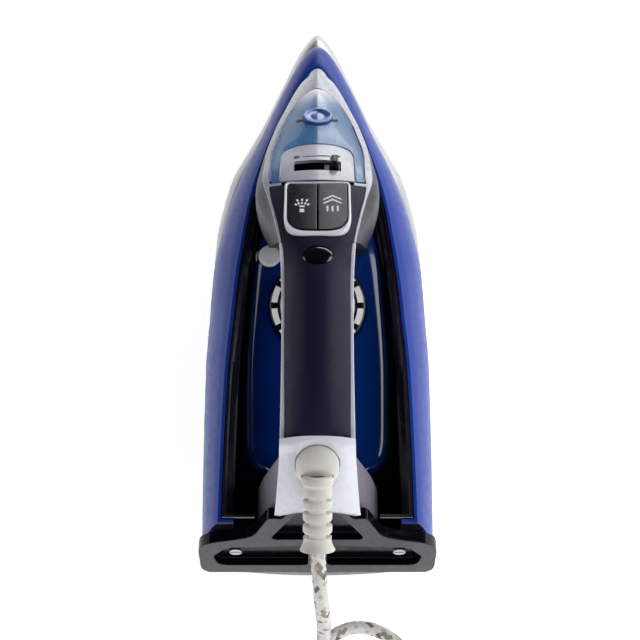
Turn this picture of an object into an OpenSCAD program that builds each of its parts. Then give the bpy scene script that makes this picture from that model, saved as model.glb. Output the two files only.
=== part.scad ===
// Steam iron with a see-through tank, a soft handle and a corded ball swivel.
// X points to the user's right, Y to the tip of the sole, Z up. The sole face lies on z = 0.

/* [Body] */
// Wall of the moulded shells
wall = 2.4; // [1.8:0.1:2.8]
// Height of the sole plate with its casting
sole_h = 12; // [11:0.5:13]
// Radius of the steam vents
vent_r = 1.5; // [1:0.1:2]

/* [Dial] */
// Radius of the temperature dial
dial_r = 24; // [22:0.5:25]
// Radius of the dial's white cap
dial_cap_r = 18.6; // [16:0.2:19]

/* [Cord] */
// Diameter of the braided cord
cord_d = 7; // [6:0.5:8]
// Mean radius of the stored coil
coil_r = 40; // [38:1:44]

/* [Hidden] */
$fn = 48;

// ---- Guide curves: [position along Y, value], smooth between the points ----
// Half width of the sole and its silver skirt
SOLE_W = [[-150, 55], [-120, 57], [-60, 57.6], [0, 56.8], [28, 55.4], [50, 51.4], [66, 46.8],
    [77, 41], [98, 30], [124, 18.4], [140, 11.4], [150, 5.6], [153.4, 2.8], [155, 0]];
// Half width and height of the blue shell's lower edge
LOW_W = [[-152, 57.5], [-98, 58], [-53, 57.9], [-27, 56.6], [2, 55], [24, 50.8], [39, 46.8],
    [54, 41.6], [66, 36.4], [80, 29.8], [96, 23.5], [114, 15.4], [130, 6.6], [134.4, 0]];
LOW_Z = [[-155, 13], [0, 15], [60, 19], [135, 24]];
// Half width and height of the blue shell's rim
RIM_W = [[-150, 48], [-105, 47], [-63, 45.6], [-36, 43.4], [-15, 41.6], [11, 38.2], [27, 35.8],
    [40, 33], [53, 29.4], [70, 24], [86, 17], [102, 9.6], [112, 4], [115.4, 0]];
RIM_Z = [[-150, 60], [-60, 64], [0, 62], [50, 57], [80, 52], [116, 46]];
// Height of the tank's top and half width of the tank
DECK_Z = [[-150, 48], [-115, 49.5], [-27, 58], [5, 60.5], [30, 58], [50, 54], [80, 46], [104, 38]];
TANK_W = [[-113, 18], [-110, 28], [-104, 34], [-94, 36.4], [-63, 36.6], [-15, 33.4], [27, 27],
    [53, 20.4], [70, 15], [86, 8.4], [96, 3], [98.6, 0]];
// Top line of the handle and head, and the half width of the white frame
RIDGE = [[-140, 88], [-137, 93], [-130, 102.5], [-120, 112], [-108, 120], [-75, 128.5],
    [-40, 131.5], [-22, 129], [-8, 124.5], [18, 113], [42, 97.5], [86, 69], [112, 53]];
FRAME_W = [[-140, 20.6], [-134, 19.4], [-120, 17.8], [-108, 17], [-60, 16.3], [-40, 16.5],
    [-19, 17.6], [-6, 20], [7, 23], [22, 26.4], [38, 25.4], [58, 21.8], [76, 16.6],
    [98, 9], [105, 4.6], [108, 0]];
// How far the frame falls away from the top line at its edge
EDGE_DROP = 5;
// Half width of the clear nose cover
WINDOW_W = [[16, 22.8], [35, 22.8], [55, 19.4], [72, 14.4], [84, 8.4], [89, 3.6], [90.6, 0]];
// Underside of the handle over the finger space
HANDLE_LOW = [[-112, 66], [-110, 76], [-106, 86], [-99, 93.5], [-85, 98], [-60, 101.5], [-40, 102.5],
    [-28, 101], [-19, 97]];
// Bulge of the head's cheeks below the frame
CHEEK = [[-18, 0], [-6, 3], [8, 5.5], [20, 4.4], [40, 2.6], [70, 1.6], [108, 1]];

// ---- Places ----
heel_foot_y = -155;
heel_foot_z = 20;
heel_lean = 16;
heel_t = 6;
button_y = 2.3;
button_z = 120.4;
button_tilt = 24;
panel_y = 28;
panel_z = 107;
panel_tilt = 32.8;
slot_w = 22.6;
slot_h = 9;
cap_y = 66;
cap_z = 81.9;
cap_tilt = 33;
cap_r = 7.4;
neck_r = 9;
neck_l = 14;
pipe_r = 6;
hinge_back = 2;
dial_y = -27.5;
dial_z = 58;
stat_y = -24;
deck_tilt = 5.5;
clean_x = -24.2;
clean_y = -1;
clean_r = 5.7;
clean_z = 60.6;
pump_r = 6;
pump_top = -11;
pump_l = 9;
pump_y = 3.5;
swivel_y = -120.5;
swivel_z = 111.4;
swivel_tilt = 40;
sleeve_l = 37;
sleeve_drop = 24;
cord_r = cord_d/2;
coil_x = 28;
coil_y = -324;
coil_base = 0.9;
coil_turns_wide = 3;
coil_layers = 2;
plug_x = coil_x + coil_r + cord_d;
plug_face_y = coil_y + 90;
plug_axis_z = 18;
plug_r = 18;
// The cord from the strain relief over the floor to the coil, along its middle
LEAD = [[0, -155.3, 98], [0.4, -161.8, 95.1], [1, -168.5, 90.6], [1.6, -174.5, 84],
    [2.2, -179, 75.5], [2.6, -181.6, 66], [3, -182.8, 56], [3, -183.6, 46], [3, -185.4, 36],
    [3, -189.4, 26.6], [3, -195.6, 18], [3, -203.8, 11], [3.6, -213, 6], [6, -222.5, 3.8],
    [11, -231.5, 3.6], [19.5, -238.5, 3.6], [30, -240.5, 3.6], [40, -237, 3.6], [47.4, -229.4, 3.6],
    [51, -219, 3.6], [50.4, -207.6, 3.6], [46, -196, 3.6], [38.4, -187, 3.6], [28, -181.4, 3.6],
    [17, -181, 4.4], [7, -185.6, 7.4], [-0.4, -194, 10.8], [-5.4, -205, 13.4], [-8.4, -217, 13.4],
    [-10.4, -230, 10.6], [-11.6, -244, 7.2], [-12.6, -259, 5], [-14.4, -275, 4.4], [-17, -291, 4.4],
    [-18.8, -308, 4.4]];
TAIL = [[plug_x, coil_y + 22, 12.4], [plug_x, coil_y + 29, 14.4], [plug_x, coil_y + 36, 17],
    [plug_x, coil_y + 43, 18], [plug_x, coil_y + 50, 18]];

// ---- Helper functions ----
function mix(a, b, t) = a + (b - a)*t;
function span(t, y, i = 0) = i >= len(t) - 2 || y <= t[i + 1][0] ? i : span(t, y, i + 1);
function rise(t, i) = (t[i + 1][1] - t[i][1])/(t[i + 1][0] - t[i][0]);
function slope(t, i) = i <= 0 ? rise(t, 0)
    : i >= len(t) - 1 ? rise(t, len(t) - 2)
    : let(a = rise(t, i - 1), b = rise(t, i)) a*b <= 0 ? 0 : 2*a*b/(a + b);
function hermite(p, q, m, n, u) = p*(2*u*u*u - 3*u*u + 1) + q*(3*u*u - 2*u*u*u)
    + m*(u*u*u - 2*u*u + u) + n*(u*u*u - u*u);
// Value of a guide curve at y
function at(t, y) = let(
    i = span(t, y),
    h = t[i + 1][0] - t[i][0],
    u = max(0, min(1, (y - t[i][0])/h)))
    hermite(t[i][1], t[i + 1][1], slope(t, i)*h, slope(t, i + 1)*h, u);
function last(t) = t[len(t) - 1][0];
// Height of the handle's and head's crowned top at x, y
function crown(x, y) = at(RIDGE, y) - EDGE_DROP*pow(x/at(FRAME_W, min(y, 104)), 2);

// One half of an outline from its point at the front to its rear, then the mirrored half.
// w: half widths, zt: heights, back: rear end, inset: how far inside, lift: added height
function half(w, zt, back, inset, lift, n) = [for (i = [0:n]) let(
    y = mix(last(w) - 2.3*inset, back + inset, pow(i/n, 1.35)),
    x = i == 0 ? 0 : max(0.15*i, at(w, y) - inset))
    [x, y, at(zt, y) + lift]];
function whole(h) = concat(h, [for (i = [len(h) - 1:-1:1]) [-h[i][0], h[i][1], h[i][2]]]);
function between(a, b, f, g) = [for (i = [0:len(a) - 1])
    [mix(a[i][0], b[i][0], f), mix(a[i][1], b[i][1], f), mix(a[i][2], b[i][2], g)]];
function flat(h, z) = [for (p = h) [p[0], p[1], z]];

// ---- Helper modules ----
// Side strips between loops of the same length
function strips(rows, n, shut) = [for (j = [0:rows - (shut ? 1 : 2)], i = [0:n - 1])
    let(k = (j + 1) % rows, m = (i + 1) % n)
    each [[j*n + i, j*n + m, k*n + i], [j*n + m, k*n + m, k*n + i]]];
// Closed band through the loops, from the last back to the first
module band(loops) {
    polyhedron(points = [for (l = loops) each l], faces = strips(len(loops), len(loops[0]), true));
}
// Stack of mirrored outlines, closed by strips across its first and last one
module stack(loops) {
    n = len(loops[0]);
    h = (n + 1)/2;
    top = (len(loops) - 1)*n;
    foot_faces = [for (i = [0:h - 2]) each i == 0
        ? [[0, n - 1, 1]]
        : [[i, n - i, i + 1], [n - i, n - i - 1, i + 1]]];
    top_faces = [for (i = [0:h - 2]) each i == 0
        ? [[top, top + 1, top + n - 1]]
        : [[top + i, top + i + 1, top + n - i], [top + n - i, top + i + 1, top + n - i - 1]]];
    polyhedron(points = [for (l = loops) each l],
        faces = concat(strips(len(loops), n, false), foot_faces, top_faces));
}
// Closed sections one after another, with flat ends
module loft(sections) {
    n = len(sections[0]);
    k = len(sections) - 1;
    polyhedron(points = [for (s = sections) each s],
        faces = concat(strips(k + 1, n, false), [[for (i = [n - 1:-1:0]) i]],
            [[for (i = [0:n - 1]) k*n + i]]));
}
// Hands a shape on as one mesh
module as_mesh() {
    resize([0, 0, 0]) children();
}
// Round tube along points, with flat ends
function unit(v) = v/norm(v);
function way(p, i) = unit(p[min(i + 1, len(p) - 1)] - p[max(i - 1, 0)]);
module tube_along(p, r, sides) {
    loft([for (i = [0:len(p) - 1]) let(
        d = way(p, i),
        a = unit(cross(d, abs(d[0]) > 0.8 ? [0, 1, 0] : [1, 0, 0])),
        b = cross(d, a))
        [for (k = [0:sides - 1]) p[i] + r*(a*cos(-360*k/sides) + b*sin(-360*k/sides))]]);
}
// Round rod from one point to another
module rod(p, q, r) {
    v = q - p;
    translate(p) rotate([0, acos(v[2]/norm(v)), atan2(v[1], v[0])]) cylinder(r = r, h = norm(v));
}
module in_button_frame() {
    translate([0, button_y, button_z]) rotate([-button_tilt, 0, 0]) children();
}
module in_panel_frame() {
    translate([0, panel_y, panel_z]) rotate([-panel_tilt, 0, 0]) children();
}
module in_cap_frame() {
    translate([0, cap_y, cap_z]) rotate([-cap_tilt, 0, 0]) children();
}
module in_dial_frame() {
    translate([0, dial_y, dial_z]) rotate([deck_tilt, 0, 0]) children();
}
module in_heel_frame() {
    translate([0, heel_foot_y, heel_foot_z]) rotate([90 - heel_lean, 0, 0]) children();
}
module sole_outline(inset) {
    h = whole(half(SOLE_W, LOW_Z, -148, inset, 0, 26));
    polygon([for (p = h) [p[0], p[1]]]);
}
module round_rect(w, h, r) {
    hull() for (x = [-1, 1], y = [-1, 1])
        translate([x*(w/2 - r), y*(h/2 - r)]) circle(r = r, $fn = 24);
}

// ---- Sole, heater and steam chamber ----
module vents() {
    for (y = [-110:22:66], s = [-1, 1])
        translate([s*(at(SOLE_W, y) - 15), y, -1]) cylinder(r = vent_r, h = 6);
    for (y = [84:9:129], s = [-1, 1])
        translate([s*max(3, at(SOLE_W, y) - 14), y, -1]) cylinder(r = vent_r, h = 6);
    translate([0, 138, -1]) cylinder(r = vent_r, h = 6);
}
module soleplate() color("silver") difference() {
    linear_extrude(2) sole_outline(1);
    vents();
}
// Cast into the block, with its two ends standing out of it
module heating_element() color("dimgray") {
    translate([0, 70, 7]) rotate_extrude(angle = 180) translate([20, 0]) circle(r = 3.1);
    for (s = [-1, 1]) {
        translate([s*20, 70, 7]) rotate([90, 0, 0]) cylinder(r = 3.1, h = 180);
        translate([s*20, -110, 3.5]) cylinder(r = 3.5, h = 15.5);
    }
}
module heater_casting() color("darkgray") difference() {
    union() {
        translate([0, 0, 2]) linear_extrude(7) sole_outline(3.8);
        translate([0, 0, 8]) linear_extrude(sole_h - 8) sole_outline(9);
    }
    translate([0, 0, 8.5]) linear_extrude(sole_h) difference() {
        sole_outline(30);
        translate([0, stat_y]) circle(r = 12);
    }
    vents_up();
}
module vents_up() {
    for (y = [-110:22:66], s = [-1, 1])
        translate([s*(at(SOLE_W, y) - 15), y, 1]) cylinder(r = vent_r, h = 3.5);
    for (y = [84:9:129], s = [-1, 1])
        translate([s*max(3, at(SOLE_W, y) - 14), y, 1]) cylinder(r = vent_r, h = 3.5);
    translate([0, 138, 1]) cylinder(r = vent_r, h = 3.5);
}
module screw_spots() {
    for (y = [-90, -40, 45], s = [-1, 1])
        translate([s*(at(SOLE_W, y) - 27), y, 0]) children();
}
module chamber_cover() color("gainsboro") difference() {
    translate([0, 0, sole_h]) linear_extrude(1.4) sole_outline(22);
    screw_spots() translate([0, 0, sole_h - 1]) cylinder(r = 1.7, h = 4);
    translate([0, 30, sole_h - 1]) cylinder(r = 2.2, h = 4);
    for (s = [-1, 1]) translate([s*20, -110, sole_h - 1]) cylinder(r = 3.9, h = 4);
    translate([0, stat_y, sole_h - 1]) cylinder(r = 10, h = 4);
}
module chamber_screws() color("silver") screw_spots() {
    translate([0, 0, sole_h + 0.2]) cylinder(r = 1.5, h = 1.4);
    translate([0, 0, sole_h + 1.5]) difference() {
        cylinder(r = 3, h = 2);
        translate([-2.5, -0.4, 1.2]) cube([5, 0.8, 1]);
    }
}
module thermostat() color("saddlebrown") {
    translate([0, stat_y, sole_h + 0.1]) cylinder(r = 9.5, h = 3);
    translate([-8, stat_y - 6, sole_h + 3.05]) cube([16, 12, 3.6]);
    translate([0, stat_y, sole_h + 6.6]) cylinder(r = 3, h = 2.2);
}
module thermal_fuse() color("white") {
    translate([-8, -60, sole_h + 3.8]) rotate([0, 90, 0]) cylinder(r = 2.2, h = 16);
    translate([-5, -61.5, sole_h + 1.45]) cube([10, 3, 1]);
}

// ---- Outer shells ----
// How far the lip inside the blue shell stands in from its lower edge
lip_inset = 4.7;
module lower_skirt() color("silver") {
    n = 26;
    a = half(SOLE_W, LOW_Z, -147, 0.6, 0, n);
    b = half(SOLE_W, LOW_Z, -147, 0, 0, n);
    ledge = half(LOW_W, LOW_Z, -147, 0.3, -0.2, n);
    step = half(LOW_W, LOW_Z, -147, lip_inset, -0.2, n);
    c = half(LOW_W, LOW_Z, -147, lip_inset, 4, n);
    d = half(LOW_W, LOW_Z, -147, lip_inset + wall, 4, n);
    d_low = half(LOW_W, LOW_Z, -147, lip_inset + wall, -2.5, n);
    e = half(SOLE_W, LOW_Z, -147, wall, 0, n);
    mid = between(flat(b, 11), ledge, 0.35, 0.5);
    band([for (l = [flat(a, 4), flat(b, 7), mid, ledge, step, c, d, d_low, flat(e, 10), flat(e, 4)])
        whole(l)]);
}
SHELL_PROFILE = [[0.10, 0], [0.02, 0.1], [0, 0.24], [0.08, 0.44], [0.32, 0.68], [0.7, 0.89], [1, 1]];
module side_shell() color([0.24, 0.31, 0.72]) as_mesh() {
    n = 30;
    low = half(LOW_W, LOW_Z, -147.5, 0, 0, n);
    rim = half(RIM_W, RIM_Z, -136.8, 0, 0, n);
    low_in = half(LOW_W, LOW_Z, -147.5, wall, 0, n);
    rim_in = half(RIM_W, RIM_Z, -136.8, 1.6, 0, n);
    outer = [for (p = SHELL_PROFILE) whole(between(low, rim, p[0], p[1]))];
    inner = [for (i = [len(SHELL_PROFILE) - 1:-1:0]) let(p = SHELL_PROFILE[i])
        whole(between(low_in, rim_in, p[0], p[1]))];
    difference() {
        band(concat(outer, inner));
        in_heel_frame() translate([-80, -30, -heel_t - 0.1]) cube([160, 160, 40]);
        in_heel_frame() translate([-40, -30, -14]) cube([80, 160, 40]);
    }
}
module inner_rim() color([0.36, 0.33, 0.42]) as_mesh() difference() {
    n = 30;
    a = half(RIM_W, RIM_Z, -136.4, 1.8, -0.4, n);
    b = half(RIM_W, RIM_Z, -136.4, 3.6, -0.8, n);
    c = half(RIM_W, DECK_Z, -138, 6.4, -2.2, n);
    d = half(RIM_W, DECK_Z, -138, 5.2, -4.2, n);
    e = half(RIM_W, RIM_Z, -136.4, 2.2, -4, n);
    band([for (l = [e, a, b, c, d]) whole(l)]);
    head_block(0.15);
    nozzle_path();
    translate([-pillar_gap, -150, 30]) cube([2*pillar_gap, 45, 60]);
}
module deck() color([0.05, 0.05, 0.13]) as_mesh() difference() {
    n = 30;
    a = half(RIM_W, DECK_Z, -138, 5.6, -6.6, n);
    b = half(RIM_W, DECK_Z, -138, 5.6, -4.4, n);
    c = half(TANK_W, DECK_Z, -113, -0.6, -4.6, n);
    d = half(TANK_W, DECK_Z, -113, -0.6, -6.6, n);
    band([for (l = [a, b, c, d]) whole(l)]);
    translate([-8, -129.5, 30]) cube([16, 7, 30]);
}

// ---- Water tank ----
module tank_outline(z, inset, lift, n) {
    h = whole(half(TANK_W, DECK_Z, -113, inset, lift, n));
    polygon([for (p = h) [p[0], p[1]]]);
}
module tank_lower() color([0.1, 0.25, 0.7, 0.6]) difference() {
    union() {
        difference() {
            translate([0, 0, 25]) linear_extrude(6) tank_outline(0, 0, 0, 22);
            translate([0, 0, 27]) linear_extrude(6) tank_outline(0, wall, 0, 22);
        }
        in_dial_frame() translate([0, 0, -32.2]) cylinder(r = 8, h = 28);
        translate([0, 30, 25]) cylinder(r = 6, h = 8);
    }
    in_dial_frame() translate([0, 0, -40]) cylinder(r = 6, h = 40);
    translate([0, 30, 20]) cylinder(r = 3.6, h = 20);
}
module tank_seal() color("white") translate([0, 0, 31]) linear_extrude(1.2) difference() {
    tank_outline(0, 0.4, 0, 22);
    tank_outline(0, 2, 0, 22);
}
module tank_upper() color([0.02, 0.12, 0.55, 0.75]) as_mesh() difference() {
    n = 26;
    out = [for (p = [[0, -6], [0.8, -3.2], [3, -1.1], [7, -0.2], [12, 0]])
        whole(half(TANK_W, DECK_Z, -113, p[0], p[1], n))];
    in = [for (p = [[12.4, -2], [7.6, -2.2], [4, -3.4], [2.6, -6]])
        whole(half(TANK_W, DECK_Z, -113, p[0], p[1], n))];
    foot_in = whole(flat(half(TANK_W, DECK_Z, -113, 2.2, 0, n), 32.4));
    foot_out = whole(flat(half(TANK_W, DECK_Z, -113, 0, 0, n), 32.4));
    stack(concat(in, [foot_in, foot_out], out));
    in_dial_frame() translate([0, 0, -12]) cylinder(r = 6.2, h = 30);
    in_dial_frame() translate([0, 0, -0.8]) cylinder(r = dial_r + 0.8, h = 20);
    translate([clean_x, clean_y, clean_z - 12]) cylinder(r = clean_r + 0.5, h = 30);
    translate([clean_x, clean_y, 30]) cylinder(r = clean_r + 1.8, h = clean_z - 33.2);
    in_cap_frame() translate([0, 0, -60]) cylinder(r = pipe_r + 0.2, h = 60);
    translate([0, 30, 40]) cylinder(r = 3.6, h = 40);
}
module drip_valve() color("orangered") difference() {
    translate([0, 30, sole_h + 1.5]) cylinder(r = 3.3, h = 16);
    translate([0, 30, sole_h + 1]) cylinder(r = 1.4, h = 18);
}
module valve_rod() color("whitesmoke") {
    translate([0, 30, sole_h + 12]) cylinder(r = 1.1, h = 70);
    translate([0, 30, sole_h + 50]) cylinder(r = 3, h = 2);
}
module filler_neck() color([0.2, 0.5, 0.85, 0.7]) in_cap_frame() difference() {
    union() {
        translate([0, 0, -neck_l]) cylinder(r1 = neck_r + 0.4, r2 = cap_r + 1.2, h = neck_l - 2.4);
        translate([0, 0, -34]) cylinder(r = pipe_r, h = 34 - neck_l + 1);
    }
    translate([0, 0, -neck_l + 1.6]) cylinder(r = cap_r + 0.4, h = neck_l);
    translate([0, 0, -40]) cylinder(r = pipe_r - 1.2, h = 40);
}
module filler_cap() color([0.1, 0.4, 0.8, 0.8]) in_cap_frame() difference() {
    union() {
        translate([0, 0, -1.8]) cylinder(r = cap_r, h = 2.2);
        translate([0, 0, 0.3]) difference() {
            cylinder(r = cap_r, h = 0.7);
            translate([0, 0, -1]) cylinder(r = cap_r - 1.4, h = 3);
        }
    }
    translate([-20, -hinge_back, -0.7]) rotate([0, 90, 0]) cylinder(r = 0.68, h = 40);
}
module filler_pin() color("slategray") in_cap_frame()
    translate([-10.4, -hinge_back, -0.7]) rotate([0, 90, 0]) cylinder(r = 0.6, h = 20.8);
module spray_nozzle() color("gainsboro") {
    rod([0, 96, 46.4], [0, 109.6, 50.4], 1.9);
    translate([0, 96, 42]) cylinder(r = 2.2, h = 5);
}
module spray_tube() color([0.8, 0.85, 0.9, 0.6])
    tube_along([[-7.2, -2, 95.4], [-7.4, 3, 84], [-8.6, 16, 73], [-9.6, 36, 64], [-9.4, 56, 58.4],
        [-6, 72, 52.4], [-2, 84, 48.6], [0, 92.8, 46.2]], 1.5, 8);

// ---- Head ----
function cheek_half(k, back, tip, f, inset, n) = [for (i = [0:n]) let(
    y = mix(tip - 2.3*inset, back + inset, pow(i/n, 1.35)),
    foot = at(DECK_Z, y) + 0.4,
    edge = at(RIDGE, y) - EDGE_DROP - 2.1,
    x = i == 0 ? 0 : max(0.15*i, at(FRAME_W, min(y, 108)) + k*at(CHEEK, y) - inset))
    [x, y, mix(foot, edge, f)]];
CHEEK_PROFILE = [[0.5, -1, 105, 0], [0.9, -3, 106, 0.25], [1, -7, 107, 0.5], [0.8, -12.5, 107.6, 0.8],
    [0, -17.4, 108, 1]];
// The whole space that the head takes, grown by a gap
module head_block(gap) {
    n = 24;
    stack([for (p = CHEEK_PROFILE) whole(cheek_half(p[0], p[1], p[2], p[3], -gap, n))]);
}
module nozzle_path() rod([0, 95, 46.1], [0, 116, 52.3], 2.2);
module head_side() color([0.36, 0.35, 0.4]) as_mesh() difference() {
    n = 24;
    outer = [for (p = CHEEK_PROFILE) whole(cheek_half(p[0], p[1], p[2], p[3], 0, n))];
    inner = [for (i = [len(CHEEK_PROFILE) - 1:-1:0]) let(p = CHEEK_PROFILE[i])
        whole(cheek_half(p[0], p[1], p[2], p[3], wall - 0.4, n))];
    band(concat(outer, inner));
    translate([clean_x, clean_y, 40]) cylinder(r = clean_r + 0.9, h = 40);
    nozzle_path();
}
// Half width of the space inside the frame: the clear cover ahead of the grip, the grip behind
GRIP_W = [[-112, 14.8], [-60, 15], [-40, 15], [-24, 15.6], [-13, 17.2], [-1, 19.7], [8, 21.8],
    [15, 22.8], [20, 22.9]];
PANEL_W = [[16, 17.9], [34, 17.7], [39, 16.6], [42, 13.2], [43.6, 8], [44.2, 0]];
function rim_point(w, tip, back, i, n) = let(
    y = mix(tip, back, pow(abs(i)/n, 1.35)),
    x = i == 0 ? 0 : max(0.15*abs(i), at(w, y)))
    [sign(i)*x, y];
// Points across the crowned top from a to b, lifted by dz
function across(a, b, steps, dz) = [for (s = [0:steps]) let(
    x = mix(a[0], b[0], s/steps), y = mix(a[1], b[1], s/steps))
    [x, y, crown(x, y) + dz]];
function back_to_front(l) = [for (i = [len(l) - 1:-1:0]) l[i]];
function skin(a, b, steps, lift, t) =
    concat(across(a, b, steps, lift), back_to_front(across(a, b, steps, lift - t)));
module head_frame() color([0.9, 0.9, 0.93]) {
    n = 22;
    m = 6;
    nose = [for (i = [-n:n]) skin(rim_point(FRAME_W, 108, 16.4, i, n),
        rim_point(WINDOW_W, 90.8, 16.4, i, n)*1.008, 2, 0, 2)];
    loft(nose);
    for (s = [-1, 1]) loft([for (i = [0:m]) let(y = s > 0 ? mix(16.4, -18, i/m) : mix(-18, 16.4, i/m))
        skin([s*at(FRAME_W, y), y], [s*(at(GRIP_W, y) + 0.25), y], 1, 0, 2)]);
}
module nose_window() color([0.45, 0.66, 0.86, 0.5]) as_mesh() difference() {
    n = 22;
    loft([for (i = [-n:n]) skin(rim_point(WINDOW_W, 90.2, 17, i, n)*0.996,
        rim_point(PANEL_W, 44.4, 17, i, n)*1.006, 4, -0.1, 1.8)]);
    in_cap_frame() translate([0, 0, -5]) cylinder(r = cap_r + 0.4, h = 12);
    in_cap_frame() translate([-10.8, -hinge_back - 0.8, -1.5]) cube([21.6, 1.6, 6]);
}
module nose_tray() color([0.75, 0.83, 0.92]) as_mesh() difference() {
    n = 20;
    loft([for (i = [-n:n]) skin(rim_point(FRAME_W, 98, 17, i, n)*0.86,
        rim_point(PANEL_W, 44.4, 17, i, n), 3, -neck_l, 1.6)]);
    in_cap_frame() translate([0, 0, -40]) cylinder(r = neck_r + 1, h = 50);
}
// Plate on the crowned top between two stations
module crowned_plate(w, y0, y1, steps, lift, t) {
    loft([for (i = [0:steps]) let(y = mix(y1, y0, i/steps))
        skin([at(w, y), y], [-at(w, y), y], 10, lift, t)]);
}
module control_panel() color([0.9, 0.9, 0.93]) as_mesh() difference() {
    crowned_plate(PANEL_W, 17.6, 43.8, 9, 0, 2);
    in_panel_frame() translate([-slot_w/2, -slot_h/2, -8]) cube([slot_w, slot_h, 16]);
    in_panel_frame() translate([0, 0, -1]) linear_extrude(3) mark_shapes(0.06, 0);
}
// A dry dot, a bar that swells and a steam ring
module mark_shapes(gap, ring_hole) {
    translate([-9.5, 8.4]) circle(r = 1.5 + gap);
    translate([-6, 8.2]) offset(delta = gap) polygon([[0, 0.6], [13, 1.1], [13, 0.1]]);
    translate([9.5, 8.4]) difference() {
        circle(r = 1.7 + gap);
        circle(r = ring_hole);
    }
}
module panel_marks() color("black") in_panel_frame() translate([0, 0, -0.94])
    linear_extrude(1.1) mark_shapes(0, 1);
module slider_guide() color("black") in_panel_frame() difference() {
    translate([-14, -7, -6.4]) cube([28, 14, 3]);
    translate([-slot_w/2 - 0.4, -slot_h/2, -4.6]) cube([slot_w + 0.8, slot_h, 4]);
}
module steam_slider() color("black") in_panel_frame() {
    translate([3, -4, -4.3]) cube([8, 8, 2.6]);
    translate([7.9, 0, -2]) rotate([90, 0, 0]) linear_extrude(5.6, center = true)
        polygon([[-2.3, 0], [2.3, 0], [1.8, 5.4], [0.2, 6.6], [-1.8, 6.2]]);
}
// Outline with round corners, sharper at the front
module u_shape(w, y0, y1, r_front, r_back) {
    hull() for (s = [-1, 1]) {
        translate([s*(w/2 - r_front), y1 - r_front]) circle(r = r_front, $fn = 24);
        translate([s*(w/2 - r_back), y0 + r_back]) circle(r = r_back, $fn = 32);
    }
}
module button_trim() color([0.86, 0.87, 0.9]) in_button_frame() translate([0, 0, -3.4])
    linear_extrude(3.2) difference() {
        u_shape(31, -20, 15.6, 3, 11);
        u_shape(28.6, -17.4, 14.4, 2, 9.6);
    }
module pump_button(s) in_button_frame() {
    translate([0, 0, -4]) linear_extrude(4) intersection() {
        u_shape(28, -17.1, 14.1, 1.8, 9.4);
        translate([s > 0 ? 0.3 : -40.3, -30]) square([40, 60]);
    }
    translate([s*7.2, pump_y, -12.9]) cylinder(r = 2, h = 9.1);
    translate([s*7.2, pump_y, -14.9]) cylinder(r = 4.1, h = 2.2);
}
module spray_button() color([0.1, 0.1, 0.16]) pump_button(-1);
module steam_button() color([0.1, 0.1, 0.16]) pump_button(1);
module pump(s) in_button_frame() translate([s*7.2, pump_y, pump_top - pump_l]) difference() {
    cylinder(r = pump_r, h = pump_l);
    translate([0, 0, 1.6]) cylinder(r = 4.3, h = pump_l);
}
module spray_pump() color("whitesmoke") pump(-1);
module steam_pump() color("whitesmoke") pump(1);
module spring(r, wire, h, turns) {
    tube_along([for (i = [0:10*turns]) [r*cos(36*i), r*sin(36*i), h*i/(10*turns)]], wire, 6);
}
module pump_spring(s) in_button_frame() translate([s*7.2, pump_y, pump_top + 0.6]) spring(4.8, 0.4, 5.8, 4);
module spray_spring() color("silver") pump_spring(-1);
module steam_spring() color("silver") pump_spring(1);

// ---- Handle ----
GRIP_DROP = [[-112, 9], [-34, 9], [-19, 4.5], [-4, 4.3], [20, 4.2]];
// Half of a rounded cap section: from the right edge over the top to the left edge
function cap_arc(w, drop, y, lift, steps) = [for (i = [0:steps]) let(
    a = 180*i/steps,
    x = w*sign(cos(a))*pow(abs(cos(a)), 0.8))
    [x, y, at(RIDGE, y) + lift - drop*pow(abs(x)/w, 2.4)]];
function cap_section(w, drop, y, t) = concat(cap_arc(w, drop, y, 0, 14),
    back_to_front(cap_arc(w - t, drop, y, -t, 14)));
module grip() color([0.08, 0.09, 0.2]) as_mesh() difference() {
    steps = 30;
    loft([for (i = [0:steps]) let(y = mix(15, -108, i/steps))
        cap_section(at(GRIP_W, y), at(GRIP_DROP, y), y, 2.6)]);
    in_button_frame() translate([0, 0, -12]) linear_extrude(20) u_shape(31.4, -20.3, 60, 3, 11.2);
    lens_frame() translate([0, 0, -10]) linear_extrude(20) ellipse(7.1, 5.1);
}
module ellipse(a, b) polygon([for (i = [0:10:350]) [a*cos(i), b*sin(i)]]);
module lens_frame() translate([0, -26.8, 130]) rotate([-8, 0, 0]) children();
module indicator_lens() color([0.12, 0.1, 0.18]) lens_frame()
    translate([0, 0, -3]) linear_extrude(2.8) ellipse(6.8, 4.8);
module pilot_light() color("red") lens_frame() translate([0, 0, -9]) {
    cylinder(r = 2.2, h = 3);
    translate([0, 0, 3]) sphere(r = 2.2);
}
// Lower half of a handle section between its seam and its underside
function bowl_arc(w, top, low, y, steps) = [for (i = [0:steps]) let(a = 180*i/steps)
    [-w*sign(cos(a))*pow(abs(cos(a)), 0.7), y, top - (top - low)*pow(sin(a), 0.7)]];
function bowl_section(y, t) = let(
    w = at(FRAME_W, y), top = at(RIDGE, y) - at(GRIP_DROP, y) - 1, low = at(HANDLE_LOW, y))
    concat(bowl_arc(w, top, low, y, 16),
        back_to_front(bowl_arc(w - t, top, max(low + t, 93 + t), y, 16)));
module handle_shell() color([0.93, 0.93, 0.96]) as_mesh() {
    steps = 26;
    loft([for (i = [0:steps]) let(y = mix(-18.4, -111.1, i/steps)) bowl_section(y, 2.2)]);
}
module rear_cover() color([0.93, 0.93, 0.96]) as_mesh() difference() {
    steps = 10;
    loft([for (i = [0:steps]) let(y = mix(-108.3, -137, i/steps))
        cap_section(at(FRAME_W, y), cover_drop(i), y, wall)]);
    swivel_frame() translate([0, 0, -12]) cylinder(r = 10.2, h = 30);
    swivel_frame() translate([0, 0, -2.2]) cylinder(r1 = 11, r2 = 18.2, h = 2.8);
}
function cover_drop(i) = i < 2 ? 6.5 : 11;
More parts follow.
